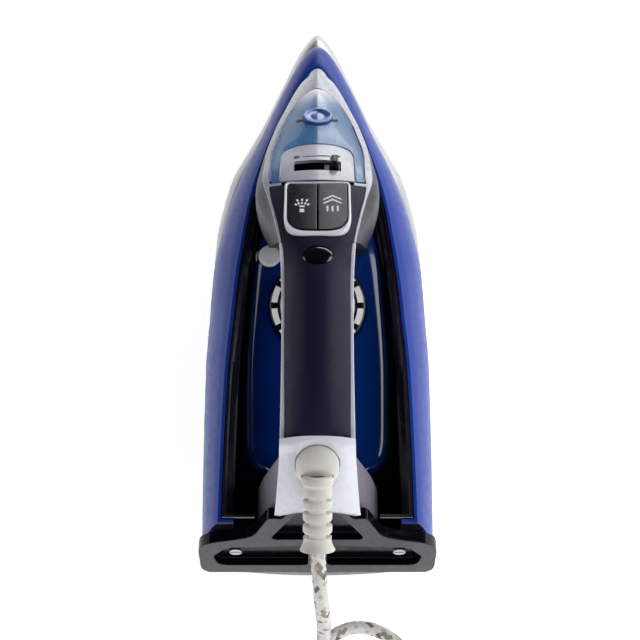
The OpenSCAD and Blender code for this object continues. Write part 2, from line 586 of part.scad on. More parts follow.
function pillar_loop(f, w, y0, y1, r) = [for (c = [[1, 1], [-1, 1], [-1, -1], [1, -1]], a = [0:22.5:90])
    let(start = c == [1, 1] ? 0 : c == [-1, 1] ? 90 : c == [-1, -1] ? 180 : 270,
        x = c[0]*(w - r) + r*cos(start + a),
        y = (c[1] > 0 ? y0 - r : y1 + r) + r*sin(start + a))
    [x, y, mix(at(DECK_Z, y) - 4.3, at(RIDGE, max(y, -138)) - (y > -115 ? 21 : 14), f)]];
PILLAR = [[0, 29.4, -114.2, -141.4, 5], [0.3, 26.6, -113, -137.4, 5], [0.62, 22.4, -112.4, -133.4, 4],
    [1, 17.4, -112.2, -130.4, 3]];
pillar_gap = 30;
module rear_pillar() color([0.3, 0.3, 0.36]) as_mesh() {
    outer = [for (p = PILLAR) pillar_loop(p[0], p[1], p[2], p[3], p[4])];
    inner = [for (i = [len(PILLAR) - 1:-1:0]) let(p = PILLAR[i])
        pillar_loop(p[0], p[1] - wall, p[2] - wall, p[3] + wall, p[4] - 1)];
    difference() {
        band(concat(outer, inner));
        in_heel_frame() translate([0, 0, -heel_t - 0.15]) linear_extrude(30) offset(0.3) heel_outline();
    }
}

// ---- Deck fittings ----
module clean_button() color("whitesmoke") translate([clean_x, clean_y, 0]) {
    translate([0, 0, clean_z - 2.6]) cylinder(r = clean_r, h = 3);
    translate([0, 0, clean_z - 14]) cylinder(r = 2.6, h = 12);
}
module clean_socket() color("gainsboro") translate([clean_x, clean_y, clean_z - 13]) difference() {
    cylinder(r = clean_r + 1.6, h = 9.6);
    translate([0, 0, 1.4]) cylinder(r = clean_r + 0.5, h = 12);
    translate([0, 0, -1]) cylinder(r = 2.8, h = 12);
}
module clean_spring() color("silver") translate([clean_x, clean_y, clean_z - 11]) spring(4, 0.4, 7.8, 4);
module temperature_dial() color([0.05, 0.05, 0.07]) in_dial_frame() {
    translate([0, 0, -0.4]) cylinder(r = dial_r, h = 3.2);
    translate([0, 0, -36.4]) cylinder(r = 2.4, h = 36.2);
}
module dial_scale() color("white") in_dial_frame() translate([0, 0, 2.8]) {
    for (a = [-150:30:180]) rotate([0, 0, a + 4]) rotate_extrude(angle = 22)
        translate([dial_r - 4, 0]) square([3.2, 0.3]);
}
module dial_cap() color([0.93, 0.93, 0.95]) in_dial_frame() translate([0, 0, 2.8]) difference() {
    cylinder(r = dial_cap_r, h = 1.4);
    translate([0, dial_cap_r - 3, 0.9]) cylinder(r = 1.2, h = 2);
}

// ---- Rear rest ----
// Right half of the outline; its top fits under the rear cover
HEEL_EDGE = [[50, -12], [55.4, -6], [58, 2], [58, 26], [56, 31], [50, 35], [39, 38.4], [31, 42.6],
    [26.6, 52], [23.4, 60], [21, 61.4], [17, 61.2], [15, 64.2], [12.4, 69], [8, 73.8], [0, 76.6]];
module heel_outline() polygon(concat(HEEL_EDGE,
    [for (i = [len(HEEL_EDGE) - 2:-1:0]) [-HEEL_EDGE[i][0], HEEL_EDGE[i][1]]]));
module heel() color([0.27, 0.26, 0.31]) difference() {
    union() {
        in_heel_frame() translate([0, 0, -heel_t]) linear_extrude(heel_t) intersection() {
            heel_outline();
            translate([-70, 0]) square([140, 100]);
        }
        translate([0, 0, heel_foot_z + 0.2]) mirror([0, 0, 1]) linear_extrude(12) intersection() {
            translate([-58, heel_foot_y]) square([116, 6.2]);
            translate([0, heel_foot_y + 402]) circle(r = 402, $fn = 240);
        }
    }
    in_heel_frame() for (s = [-1, 1]) translate([s*26, 20.4, -4]) linear_extrude(10)
        round_rect(40, 20, 6);
    in_heel_frame() translate([0, 0, -4]) linear_extrude(10) hull() {
        for (s = [-1, 1]) translate([s*19, 41]) circle(r = 3, $fn = 24);
        for (s = [-1, 1]) translate([s*6, 62]) circle(r = 4, $fn = 24);
    }
    in_heel_frame() for (s = [-1, 1]) translate([s*40, 20, -8]) cylinder(r = 1.6, h = 10);
}
module heel_screws() color("silver") in_heel_frame() for (s = [-1, 1]) translate([s*40, 20, -3.9]) {
    difference() {
        cylinder(r = 3, h = 2);
        translate([-2.5, -0.4, 1.2]) cube([5, 0.8, 2]);
    }
    translate([0, 0, -2]) cylinder(r = 1.5, h = 2.1);
}

// ---- Mains parts ----
module terminal_block() color("ivory") difference() {
    translate([-9, -129, 74]) cube([18, 12, 9]);
    for (x = [-5.6, 0, 5.6]) translate([x, -123, 76]) cylinder(r = 1.8, h = 9);
}
module wire_loom() for (k = [-1, 0, 1]) color(k < 0 ? "brown" : k > 0 ? "blue" : "yellowgreen")
    tube_along([[5.6*k, -123, 73.4], [5.6*k, -124, 60], [5*k, -126, 46], [4*k, -127, 32], [4*k, -122, 22],
        [4*k, -108, 19.2], [4*k, -90, 18.6], [4*k, -76, 18.6], [4*k, -66 + 2*k, 18.6]], 1.2, 8);
module swivel_frame() translate([0, swivel_y, swivel_z]) rotate([swivel_tilt, 0, 0]) children();
module cord_ball() color([0.82, 0.82, 0.78]) difference() {
    swivel_frame() {
        intersection() {
            translate([0, 0, -9.4]) sphere(r = 13.6);
            translate([0, 0, -9]) cylinder(r = 9.8, h = 17);
        }
        translate([0, 0, -10.8]) cylinder(r = 11.4, h = 1.9);
    }
    sleeve_frame() translate([0, 0, 3.3]) cylinder(r = 7.5, h = 20);
}
module sleeve_frame()
    translate([0, swivel_y - 1, swivel_z + 1.6]) rotate([90 + sleeve_drop, 0, 0]) children();
module strain_relief() color([0.82, 0.82, 0.78]) sleeve_frame() difference() {
    rotate_extrude() polygon([[0, 3.4], [6.4, 3.4], [7.2, 6], [6.6, 8], [6.4, 18], [6, 28], [6.2, 31],
        [7, 34], [7.9, sleeve_l], [0, sleeve_l]]);
    translate([0, 0, 14]) cylinder(r = cord_r + 0.05, h = 40);
    for (z = [10.5:5.5:27], s = [-1, 1])
        translate([s*6.6 - 3, -4.4, z]) cube([6, 8.8, 2.2]);
}
module cord_lead() color([0.85, 0.85, 0.85]) tube_along(LEAD, cord_r, 10);
module cord_tail() color([0.85, 0.85, 0.85]) tube_along(TAIL, cord_r, 10);
module cord_coil() color([0.85, 0.85, 0.85]) translate([coil_x, coil_y, 0]) rotate_extrude($fn = 96)
    translate([coil_r - coil_turns_wide*cord_r, coil_base])
        square([coil_turns_wide*cord_d, coil_layers*cord_d]);
module cord_tie() color("black") translate([coil_x, coil_y, 0]) rotate([0, 0, 235])
    translate([coil_r, 0, coil_base + coil_layers*cord_r]) difference() {
        cube([coil_turns_wide*cord_d + 2.2, 7, coil_layers*cord_d + 1.8], center = true);
        cube([coil_turns_wide*cord_d + 0.7, 9, coil_layers*cord_d + 0.4], center = true);
    }
module plug_frame() translate([plug_x, plug_face_y, plug_axis_z]) rotate([90, 0, 0]) children();
module plug_body() color([0.85, 0.85, 0.84]) plug_frame() difference() {
    rotate_extrude() polygon([[0, 0], [plug_r - 0.6, 0], [plug_r, 0.8], [plug_r, 15], [16.4, 17], [12.6, 22],
        [11.4, 30], [10, 37], [6.6, 40], [4.8, 56], [0, 56]]);
    translate([0, 0, 36]) cylinder(r = cord_r + 0.05, h = 30);
    for (s = [-1, 1]) translate([s*plug_r - 2, -3.5, -1]) cube([4, 7, 14]);
    translate([0, 9, -1]) cylinder(r = 2.5, h = 12);
    for (s = [-1, 1]) translate([s*9.5, 0, -1]) cylinder(r = 1.95, h = 9);
}
module plug_pins() color("silver") plug_frame() for (s = [-1, 1]) translate([s*9.5, 0, -19]) {
    cylinder(r = 2.4, h = 19);
    translate([0, 0, 18.9]) cylinder(r = 1.9, h = 7.9);
}

soleplate();
heater_casting();
heating_element();
chamber_cover();
chamber_screws();
thermostat();
thermal_fuse();
lower_skirt();
side_shell();
inner_rim();
deck();
tank_lower();
tank_seal();
tank_upper();
drip_valve();
valve_rod();
spray_nozzle();
spray_tube();
filler_neck();
filler_cap();
filler_pin();
head_side();
head_frame();
nose_window();
nose_tray();
control_panel();
panel_marks();
steam_slider();
slider_guide();
button_trim();
spray_button();
steam_button();
spray_pump();
steam_pump();
spray_spring();
steam_spring();
grip();
indicator_lens();
pilot_light();
handle_shell();
rear_cover();
rear_pillar();
clean_button();
clean_socket();
clean_spring();
temperature_dial();
dial_scale();
dial_cap();
heel();
heel_screws();
terminal_block();
wire_loom();
cord_ball();
strain_relief();
cord_lead();
cord_coil();
cord_tie();
cord_tail();
plug_body();
plug_pins();
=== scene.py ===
"""Looks of a steam iron with a see-through tank, a soft handle and a corded swivel.

Lengths in the tables and builders are in millimetres, and every mesh is written in metres.
"""

import math

import bmesh
import bpy
import numpy as np
from mathutils import Matrix, Vector
from mathutils.bvhtree import BVHTree


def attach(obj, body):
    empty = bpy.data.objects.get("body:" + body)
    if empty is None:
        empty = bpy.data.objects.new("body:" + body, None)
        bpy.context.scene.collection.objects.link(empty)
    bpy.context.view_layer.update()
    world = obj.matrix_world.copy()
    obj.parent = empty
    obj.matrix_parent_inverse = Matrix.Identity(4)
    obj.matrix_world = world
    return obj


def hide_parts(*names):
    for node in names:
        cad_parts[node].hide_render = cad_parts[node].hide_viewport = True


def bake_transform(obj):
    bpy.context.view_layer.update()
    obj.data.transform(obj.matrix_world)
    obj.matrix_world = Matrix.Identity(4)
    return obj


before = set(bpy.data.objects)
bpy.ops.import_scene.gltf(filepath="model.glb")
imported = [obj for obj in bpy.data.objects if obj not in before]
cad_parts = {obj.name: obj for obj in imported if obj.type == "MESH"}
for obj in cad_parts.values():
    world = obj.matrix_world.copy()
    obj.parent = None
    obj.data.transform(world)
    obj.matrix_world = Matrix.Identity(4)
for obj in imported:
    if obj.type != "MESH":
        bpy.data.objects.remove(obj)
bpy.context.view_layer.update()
MM = 0.001

# ---- Guide curves of the part: [position along Y, value], smooth between the points ----
SOLE_W = [[-150, 55], [-120, 57], [-60, 57.6], [0, 56.8], [28, 55.4], [50, 51.4], [66, 46.8],
    [77, 41], [98, 30], [124, 18.4], [140, 11.4], [150, 5.6], [153.4, 2.8], [155, 0]]
LOW_W = [[-152, 57.5], [-98, 58], [-53, 57.9], [-27, 56.6], [2, 55], [24, 50.8], [39, 46.8],
    [54, 41.6], [66, 36.4], [80, 29.8], [96, 23.5], [114, 15.4], [130, 6.6], [134.4, 0]]
LOW_Z = [[-155, 13], [0, 15], [60, 19], [135, 24]]
RIM_W = [[-150, 48], [-105, 47], [-63, 45.6], [-36, 43.4], [-15, 41.6], [11, 38.2], [27, 35.8],
    [40, 33], [53, 29.4], [70, 24], [86, 17], [102, 9.6], [112, 4], [115.4, 0]]
RIM_Z = [[-150, 60], [-60, 64], [0, 62], [50, 57], [80, 52], [116, 46]]
DECK_Z = [[-150, 48], [-115, 49.5], [-27, 58], [5, 60.5], [30, 58], [50, 54], [80, 46], [104, 38]]
TANK_W = [[-113, 18], [-110, 28], [-104, 34], [-94, 36.4], [-63, 36.6], [-15, 33.4], [27, 27],
    [53, 20.4], [70, 15], [86, 8.4], [96, 3], [98.6, 0]]
RIDGE = [[-140, 88], [-137, 93], [-130, 102.5], [-120, 112], [-108, 120], [-75, 128.5],
    [-40, 131.5], [-22, 129], [-8, 124.5], [18, 113], [42, 97.5], [86, 69], [112, 53]]
FRAME_W = [[-140, 20.6], [-134, 19.4], [-120, 17.8], [-108, 17], [-60, 16.3], [-40, 16.5],
    [-19, 17.6], [-6, 20], [7, 23], [22, 26.4], [38, 25.4], [58, 21.8], [76, 16.6],
    [98, 9], [105, 4.6], [108, 0]]
WINDOW_W = [[16, 22.8], [35, 22.8], [55, 19.4], [72, 14.4], [84, 8.4], [89, 3.6], [90.6, 0]]
HANDLE_LOW = [[-112, 66], [-110, 76], [-106, 86], [-99, 93.5], [-85, 98], [-60, 101.5], [-40, 102.5],
    [-28, 101], [-19, 97]]
CHEEK = [[-18, 0], [-6, 3], [8, 5.5], [20, 4.4], [40, 2.6], [70, 1.6], [108, 1]]
GRIP_W = [[-112, 14.8], [-60, 15], [-40, 15], [-24, 15.6], [-13, 17.2], [-1, 19.7], [8, 21.8],
    [15, 22.8], [20, 22.9]]
PANEL_W = [[16, 17.9], [34, 17.7], [39, 16.6], [42, 13.2], [43.6, 8], [44.2, 0]]
GRIP_DROP = [[-112, 9], [-34, 9], [-19, 4.5], [-4, 4.3], [20, 4.2]]
SHELL_PROFILE = [[0.10, 0], [0.02, 0.1], [0, 0.24], [0.08, 0.44], [0.32, 0.68], [0.7, 0.89], [1, 1]]
CHEEK_PROFILE = [[0.5, -1, 105, 0], [0.9, -3, 106, 0.25], [1, -7, 107, 0.5], [0.8, -12.5, 107.6, 0.8],
    [0, -17.4, 108, 1]]
PILLAR = [[0, 29.4, -114.2, -141.4, 5], [0.3, 26.6, -113, -137.4, 5], [0.62, 22.4, -112.4, -133.4, 4],
    [1, 17.4, -112.2, -130.4, 3]]
HEEL_FOOT_EDGE = [[54.6, 0.4], [57, 3], [58, 7], [58, 13], [58, 19], [57.8, 25]]
HEEL_EDGE = [[56, 31], [50, 35], [39, 38.4], [31, 42.6], [26.6, 52], [23.4, 60], [21, 61.4],
    [17, 61.2], [15, 64.2], [12.4, 69], [8, 73.8], [0, 76.6]]
LEAD = [[0, -155.3, 98], [0.4, -161.8, 95.1], [1, -168.5, 90.6], [1.6, -174.5, 84],
    [2.2, -179, 75.5], [2.6, -181.6, 66], [3, -182.8, 56], [3, -183.6, 46], [3, -185.4, 36],
    [3, -189.4, 26.6], [3, -195.6, 18], [3, -203.8, 11], [3.6, -213, 6], [6, -222.5, 3.8],
    [11, -231.5, 3.6], [19.5, -238.5, 3.6], [30, -240.5, 3.6], [40, -237, 3.6], [47.4, -229.4, 3.6],
    [51, -219, 3.6], [50.4, -207.6, 3.6], [46, -196, 3.6], [38.4, -187, 3.6], [28, -181.4, 3.6],
    [17, -181, 4.4], [7, -185.6, 7.4], [-0.4, -194, 10.8], [-5.4, -205, 13.4], [-8.4, -217, 13.4],
    [-10.4, -230, 10.6], [-11.6, -244, 7.2], [-12.6, -259, 5], [-14.4, -275, 4.4], [-17, -291, 4.4],
    [-18.8, -308, 4.4]]
EDGE_DROP = 5
WALL = 2.4
NECK_L = 14
CAP_R = 7.4
DIAL_R = 24
DIAL_CAP_R = 18.6
CORD_R = 3.5
COIL = (28, -324)
COIL_R = 40
PLUG_X = COIL[0] + COIL_R + 2 * CORD_R
PLUG_Y = COIL[1] + 90
CLEAN = (-24.2, -1, 60.6)
CLEAN_R = 5.7


# ---- Curves ----
def mix(a, b, t):
    return a + (b - a) * t


def rise(table, i):
    return (table[i + 1][1] - table[i][1]) / (table[i + 1][0] - table[i][0])


def slope(table, i):
    """Slope at a point of a guide curve, which never overshoots."""
    if i <= 0:
        return rise(table, 0)
    if i >= len(table) - 1:
        return rise(table, len(table) - 2)
    a, b = rise(table, i - 1), rise(table, i)
    return 0 if a * b <= 0 else 2 * a * b / (a + b)


def at(table, y):
    """Value of a guide curve at y."""
    i = 0
    while i < len(table) - 2 and y > table[i + 1][0]:
        i += 1
    h = table[i + 1][0] - table[i][0]
    u = min(1, max(0, (y - table[i][0]) / h))
    m, n = slope(table, i) * h, slope(table, i + 1) * h
    p, q = table[i][1], table[i + 1][1]
    return (p * (2 * u**3 - 3 * u * u + 1) + q * (3 * u * u - 2 * u**3)
            + m * (u**3 - 2 * u * u + u) + n * (u**3 - u * u))


def width(table, y):
    """Half width of an outline whose tip is rounded through its last three points."""
    (y3, x3), (y2, x2), (tip, _) = table[-3:]
    if y <= y3:
        return at(table, y)
    t2, t3, t = tip - y2, tip - y3, max(0, tip - y)
    b = (x3 * x3 / t3 - x2 * x2 / t2) / (t3 - t2)
    a = x2 * x2 / t2 - b * t2
    return math.sqrt(max(0, a * t + b * t * t))


def crown(x, y):
    """Height of the crowned top of the head and handle."""
    return at(RIDGE, y) - EDGE_DROP * (x / at(FRAME_W, min(y, 104))) ** 2


def smooth(points, steps):
    """Catmull-Rom curve through the points, with steps spans between two of them."""
    p = [np.array(q, float) for q in points]
    p = [2 * p[0] - p[1]] + p + [2 * p[-1] - p[-2]]
    out = []
    for i in range(1, len(p) - 2):
        for s in range(steps):
            t = s / steps
            a, b, c, d = p[i - 1:i + 3]
            out.append(0.5 * (2 * b + (c - a) * t + (2 * a - 5 * b + 4 * c - d) * t * t
                              + (3 * b - a - 3 * c + d) * t**3))
    return out + [p[-2]]


def evenly(points, step):
    """The same line with points a step apart."""
    p = np.array(points, float)
    d = lengths(p)
    n = max(2, int(round(d[-1] / step)))
    s = np.linspace(0, d[-1], n + 1)
    return np.stack([np.interp(s, d, p[:, k]) for k in range(p.shape[1])], 1)


def lengths(p):
    """Distance along a line at each of its points."""
    return np.r_[0, np.cumsum(np.linalg.norm(np.diff(p, axis=0), axis=1))]


def directions(p):
    way = np.gradient(p, axis=0)
    return way / np.linalg.norm(way, axis=1)[:, None]


HALF_N = 84


def half_line(table, back, inset):
    """Right half of an outline, from its tip to its rear end, moved inwards by inset."""
    y0 = table[-1][0]
    s = np.linspace(0, 1, 420) ** 2
    y = y0 - (y0 - back) * s
    x = np.array([width(table, v) for v in y])
    dx, dy = np.gradient(x), np.gradient(y)
    size = np.hypot(dx, dy)
    ox, oy = x + dy / size * inset, y - dx / size * inset
    inside = np.nonzero(ox <= 0)[0]
    k = inside[-1] if len(inside) else 0
    if inset > 0 and k + 1 < len(ox):
        f = -ox[k] / (ox[k + 1] - ox[k])
        start = [0.0, mix(oy[k], oy[k + 1], f)]
    else:
        start = [0.0, oy[0]]
    line = [start] + [[a, b] for a, b in zip(ox[k + 1:], oy[k + 1:]) if b > back + inset + 0.01]
    line.append([line[-1][0], back + inset])
    p = np.array(line)
    d = lengths(p)
    t = np.linspace(0, 1, HALF_N + 1) ** 1.6 * d[-1]
    return np.stack([np.interp(t, d, p[:, 0]), np.interp(t, d, p[:, 1])], 1)


def outline(table, heights, back, inset=0.0, lift=0.0):
    """Closed mirrored loop on a height curve, or at one height if that is a number."""
    h = half_line(table, back, inset)
    level = callable(heights)
    z = [heights(y) + lift if level else (at(heights, y) if isinstance(heights, list) else heights) + lift
         for _, y in h]
    right = np.c_[h, z]
    left = right[:0:-1] * [-1, 1, 1]
    return np.r_[right, left]


def between(a, b, f, g):
    """Loop between two others: f across, g in height."""
    return np.c_[mix(a[:, 0], b[:, 0], f), mix(a[:, 1], b[:, 1], f), mix(a[:, 2], b[:, 2], g)]


# ---- Frames ----
def tilted(y, z, degrees, x=0):
    return Matrix.Translation((x, y, z)) @ Matrix.Rotation(math.radians(degrees), 4, "X")


BUTTONS = tilted(2.3, 120.4, -24)
PANEL = tilted(28, 107, -32.8)
CAP = tilted(66, 81.9, -33)
DIAL = tilted(-27.5, 58, 5.5)
HEEL = tilted(-155, 20, 74)
LENS = tilted(-26.8, 130, -8)
SWIVEL = tilted(-120.5, 111.4, 40)
SLEEVE = tilted(-121.5, 113, 114)
PLUG = tilted(PLUG_Y, 18, 90, PLUG_X)
LEVEL = Matrix.Identity(4)
QUARTER_X = Matrix.Rotation(math.pi / 2, 4, "X")


def moved(place, x, y, z=0):
    return place @ Matrix.Translation((x, y, z))


# ---- Mesh builders ----
def mesh_object(name, points, faces, place=LEVEL):
    mesh = bpy.data.meshes.new(name)
    turned = [tuple(place @ Vector(p) * MM) for p in points]
    mesh.from_pydata(turned, [], [tuple(int(i) for i in f) for f in faces])
    mesh.update()
    obj = bpy.data.objects.new(name, mesh)
    bpy.context.scene.collection.objects.link(obj)
    return obj


def outwards(obj):
    b = bmesh.new()
    b.from_mesh(obj.data)
    bmesh.ops.remove_doubles(b, verts=b.verts, dist=1e-7)
    bmesh.ops.recalc_face_normals(b, faces=b.faces)
    b.to_mesh(obj.data)
    b.free()
    return obj


def strips(rows, n, shut_rows=False):
    """Faces between rows of n points that each close into a ring."""
    faces = []
    for j in range(rows if shut_rows else rows - 1):
        for i in range(n):
            a, b = j * n + i, j * n + (i + 1) % n
            c, d = ((j + 1) % rows) * n + (i + 1) % n, ((j + 1) % rows) * n + i
            faces.append((a, b, c, d))
    return faces


def drill(r, low, high, place, sides=64):
    """Round cutter from low to high along the Z axis of a frame."""
    return lathe("drill", [(0, low), (r, low), (r, high), (0, high)], place, sides)


def band(name, loops):
    """Closed band through loops, from the last back to the first."""
    points = [p for l in loops for p in l]
    return outwards(mesh_object(name, points, strips(len(loops), len(loops[0]), True)))


def loft(name, sections):
    """Closed sections one after another, with flat ends."""
    n, rows = len(sections[0]), len(sections)
    points = [p for s in sections for p in s]
    faces = strips(rows, n) + [tuple(range(n)), tuple((rows - 1) * n + i for i in range(n))]
    return outwards(mesh_object(name, points, faces))


def domed(name, loops):
    """Open stack of mirrored loops, closed across its first and last one by strips."""
    n, rows = len(loops[0]), len(loops)
    h = (n + 1) // 2
    points = [p for l in loops for p in l]
    faces = strips(rows, n)
    for base in (0, (rows - 1) * n):
        faces.append((base, base + n - 1, base + 1))
        for i in range(1, h - 1):
            faces.append((base + i, base + n - i, base + n - i - 1, base + i + 1))
    return outwards(mesh_object(name, points, faces))


def lathe(name, profile, place=LEVEL, sides=64):
    """Profile of (radius, height) turned round Z, closed at its ends where the radius is 0."""
    rings, points, faces = [], [], []
    for r, z in profile:
        if r < 1e-6:
            rings.append([len(points)])
            points.append((0, 0, z))
        else:
            rings.append(list(range(len(points), len(points) + sides)))
            points += [(r * math.cos(2 * math.pi * k / sides), r * math.sin(2 * math.pi * k / sides), z)
                       for k in range(sides)]
    pairs = list(zip(rings, rings[1:]))
    if len(rings[0]) > 1 and len(rings[-1]) > 1:
        pairs.append((rings[-1], rings[0]))
    for a, b in pairs:
        for k in range(sides):
            m = (k + 1) % sides
            if len(a) == 1:
                faces.append((a[0], b[m], b[k]))
            elif len(b) == 1:
                faces.append((a[k], a[m], b[0]))
            else:
                faces.append((a[k], a[m], b[m], b[k]))
    return outwards(mesh_object(name, points, faces, place))


def slab(name, line, z0, z1, place=LEVEL):
    """Flat outline given thickness."""
    n = len(line)
    points = [(x, y, z0) for x, y in line] + [(x, y, z1) for x, y in line]
    faces = strips(2, n) + [tuple(range(n)), tuple(range(n, 2 * n))]
    return outwards(mesh_object(name, points, faces, place))


def tube(name, line, r, sides=12):
    """Round tube along points."""
    p = np.array(line, float)
    way = directions(p)
    side = np.cross(way[0], [0, 0, 1])
    sections = []
    for c, w in zip(p, way):
        side = side - w * (side @ w)
        side /= np.linalg.norm(side)
        up = np.cross(w, side)
        sections.append([c + r * (side * math.cos(a) + up * math.sin(a))
                         for a in np.linspace(0, 2 * math.pi, sides, endpoint=False)])
    return loft(name, sections)


def joined(name, parts):
    """One object made of several."""
    b = bmesh.new()
    for o in parts:
        b.from_mesh(o.data)
        bpy.data.objects.remove(o)
    mesh = bpy.data.meshes.new(name)
    b.to_mesh(mesh)
    b.free()
    obj = bpy.data.objects.new(name, mesh)
    bpy.context.scene.collection.objects.link(obj)
    return obj


def applied(obj):
    """The object with its modifiers worked into its mesh."""
    bpy.context.view_layer.update()
    mesh = bpy.data.meshes.new_from_object(obj.evaluated_get(bpy.context.evaluated_depsgraph_get()))
    obj.modifiers.clear()
    obj.data = mesh
    return obj


def carve(obj, *cutters):
    for c in cutters:
        m = obj.modifiers.new("cut", "BOOLEAN")
        m.operation = "DIFFERENCE"
        m.solver = "EXACT"
        m.object = c
    applied(obj)
    for c in cutters:
        bpy.data.objects.remove(c)
    return obj


def soften(obj, size, angle, segments):
    """Rounded edges of that size and smooth shading between them."""
    for f in obj.data.polygons:
        f.use_smooth = True
    obj.data.set_sharp_from_angle(angle=math.radians(32))
    if size:
        m = obj.modifiers.new("edges", "BEVEL")
        m.width = size * MM
        m.segments = segments
        m.limit_method = "ANGLE"
        m.angle_limit = math.radians(angle)
        m.use_clamp_overlap = True
        m.harden_normals = True
    return obj


def piece(obj, body, material, node=None, size=0.0, angle=32, segments=2):
    """Finishes a visible piece: edges, material, body and the CAD node that it stands for."""
    soften(obj, size, angle, segments)
    obj.data.materials.clear()
    obj.data.materials.append(material)
    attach(obj, body)
    if node:
        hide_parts(node)
    return obj


def rounded(corners, arc=8):
    """Outline through corners (x, y, radius), counter-clockwise, with round corners."""
    out, n = [], len(corners)
    for i, (x, y, r) in enumerate(corners):
        p = np.array([x, y], float)
        a = np.array(corners[i - 1][:2], float) - p
        b = np.array(corners[(i + 1) % n][:2], float) - p
        a /= np.linalg.norm(a)
        b /= np.linalg.norm(b)
        half = math.acos(max(-1, min(1, a @ b))) / 2
        reach = r / math.tan(half)
        start, end = p + a * reach, p + b * reach
        for k in range(arc + 1):
            t = k / arc
            out.append(tuple((1 - t) ** 2 * start + 2 * t * (1 - t) * p + t * t * end))
    return out


def ellipse(a, b, n=64):
    return [(a * math.cos(2 * math.pi * k / n), b * math.sin(2 * math.pi * k / n)) for k in range(n)]


def rounded_box(x0, y0, x1, y1, r, arc=8):
    return rounded([(x0, y0, r), (x1, y0, r), (x1, y1, r), (x0, y1, r)], arc)


# ---- Materials ----
def linear(code):
    """Linear colour of a hexadecimal sRGB code."""
    out = []
    for k in (0, 2, 4):
        c = int(code[k:k + 2], 16) / 255
        out.append(c / 12.92 if c <= 0.04045 else ((c + 0.055) / 1.055) ** 2.4)
    return (*out, 1)


class Nodes:
    """Short calls for building a material's nodes."""

    def __init__(self, name):
        self.material = bpy.data.materials.new(name)
        self.material.use_nodes = True
        self.tree = self.material.node_tree
        self.shader = self.tree.nodes["Principled BSDF"]
        self.place = self.tree.nodes.new("ShaderNodeTexCoord").outputs["Object"]

    def add(self, kind, settings=None, **sockets):
        n = self.tree.nodes.new("ShaderNode" + kind)
        for k, v in (settings or {}).items():
            setattr(n, k, v)
        for k, v in sockets.items():
            self.put(n, k.replace("_", " "), v)
        return n

    def put(self, node, socket, value):
        s = node.inputs[int(socket)] if socket.isdigit() else node.inputs[socket]
        if isinstance(value, bpy.types.NodeSocket):
            self.tree.links.new(value, s)
        else:
            s.default_value = value

    def set(self, **sockets):
        for k, v in sockets.items():
            self.put(self.shader, k.replace("_", " "), v)

    def noise(self, scale, detail=2.0, stretch=None):
        place = self.place
        if stretch:
            place = self.add("Mapping", Vector=place, Scale=stretch).outputs[0]
        return self.add("TexNoise", Vector=place, Scale=scale, Detail=detail).outputs["Fac"]

    def math(self, what, a, b=None, clamp=False):
        n = self.add("Math", {"operation": what, "use_clamp": clamp})
        self.put(n, "0", a)
        if b is not None:
            self.put(n, "1", b)
        return n.outputs[0]

    def between(self, value, low, high, a=0.0, b=1.0):
        """Value mapped from low..high to a..b, and kept there."""
        n = self.add("MapRange", Value=value, From_Min=low, From_Max=high, To_Min=a, To_Max=b)
        return n.outputs[0]

    def tint(self, fac, a, b):
        n = self.add("Mix", {"data_type": "RGBA"})
        self.put(n, "0", fac)
        self.put(n, "6", a)
        self.put(n, "7", b)
        return n.outputs[2]

    def axis(self, which):
        return self.add("SeparateXYZ", Vector=self.place).outputs[which]

    def bump(self, height, strength, depth):
        n = self.add("Bump", Height=height, Strength=strength, Distance=depth)
        last = getattr(self, "relief", None)
        if last is not None:
            self.put(n, "Normal", last)
        self.relief = n.outputs[0]
        self.set(Normal=self.relief)


def shaded(colour, share):
    return tuple(min(1, c * share) for c in colour[:3]) + (1,)


def plastic_nodes(name, code, rough=0.35, spread=0.06, grain=0.25, grain_scale=2600, peel=0.05, mottle=0.05,
                  coat=0.0, coat_rough=0.04, metallic=0.0, scratches=0.05, wear=0.0, ior=1.5, alpha=1.0,
                  specular=0.5):
    """Moulded or painted surface: faint mottling, grain, orange peel, fine scratches and worn edges."""
    n = Nodes(name)
    base = linear(code)
    colour = n.tint(n.noise(38, 4), shaded(base, 1 - mottle), shaded(base, 1 + mottle))
    if wear:
        edge = n.between(n.add("NewGeometry").outputs["Pointiness"], 0.53, 0.6)
        worn = n.math("MULTIPLY", edge, n.between(n.noise(420, 5), 0.42, 0.62))
        pale = tuple(mix(c, 0.55, wear) for c in base[:3]) + (1,)
        colour = n.tint(n.math("MULTIPLY", worn, wear), colour, pale)
    n.set(Base_Color=colour, Metallic=metallic, IOR=ior, Alpha=alpha,
          Specular_IOR_Level=specular)
    dust = n.between(n.noise(260, 3), 0.3, 0.7, rough - spread, rough + spread)
    lines = n.between(n.noise(1, 3, (90, 2600, 90)), 0.64, 0.7)
    lines = n.math("MULTIPLY", lines, n.between(n.noise(55, 2), 0.5, 0.62))
    n.set(Roughness=n.math("ADD", dust, n.math("MULTIPLY", lines, scratches), clamp=True))
    if coat:
        n.set(Coat_Weight=coat, Coat_Roughness=coat_rough)
    if peel:
        n.bump(n.noise(190, 1), peel, 0.0004)
    if grain:
        n.bump(n.noise(grain_scale, 2), grain, 0.00006)
    return n


def plastic(*sizes, **settings):
    return plastic_nodes(*sizes, **settings).material


def silver_paint():
    """Silver paint with fine flakes."""
    n = plastic_nodes("silver_paint", "b9babd", 0.34, grain=0.12, metallic=0.55, mottle=0.03,
                      wear=0.25, coat=0.3, coat_rough=0.2)
    flake = n.add("TexVoronoi", Vector=n.place, Scale=3800.0).outputs["Distance"]
    n.bump(flake, 0.12, 0.00004)
    return n.material


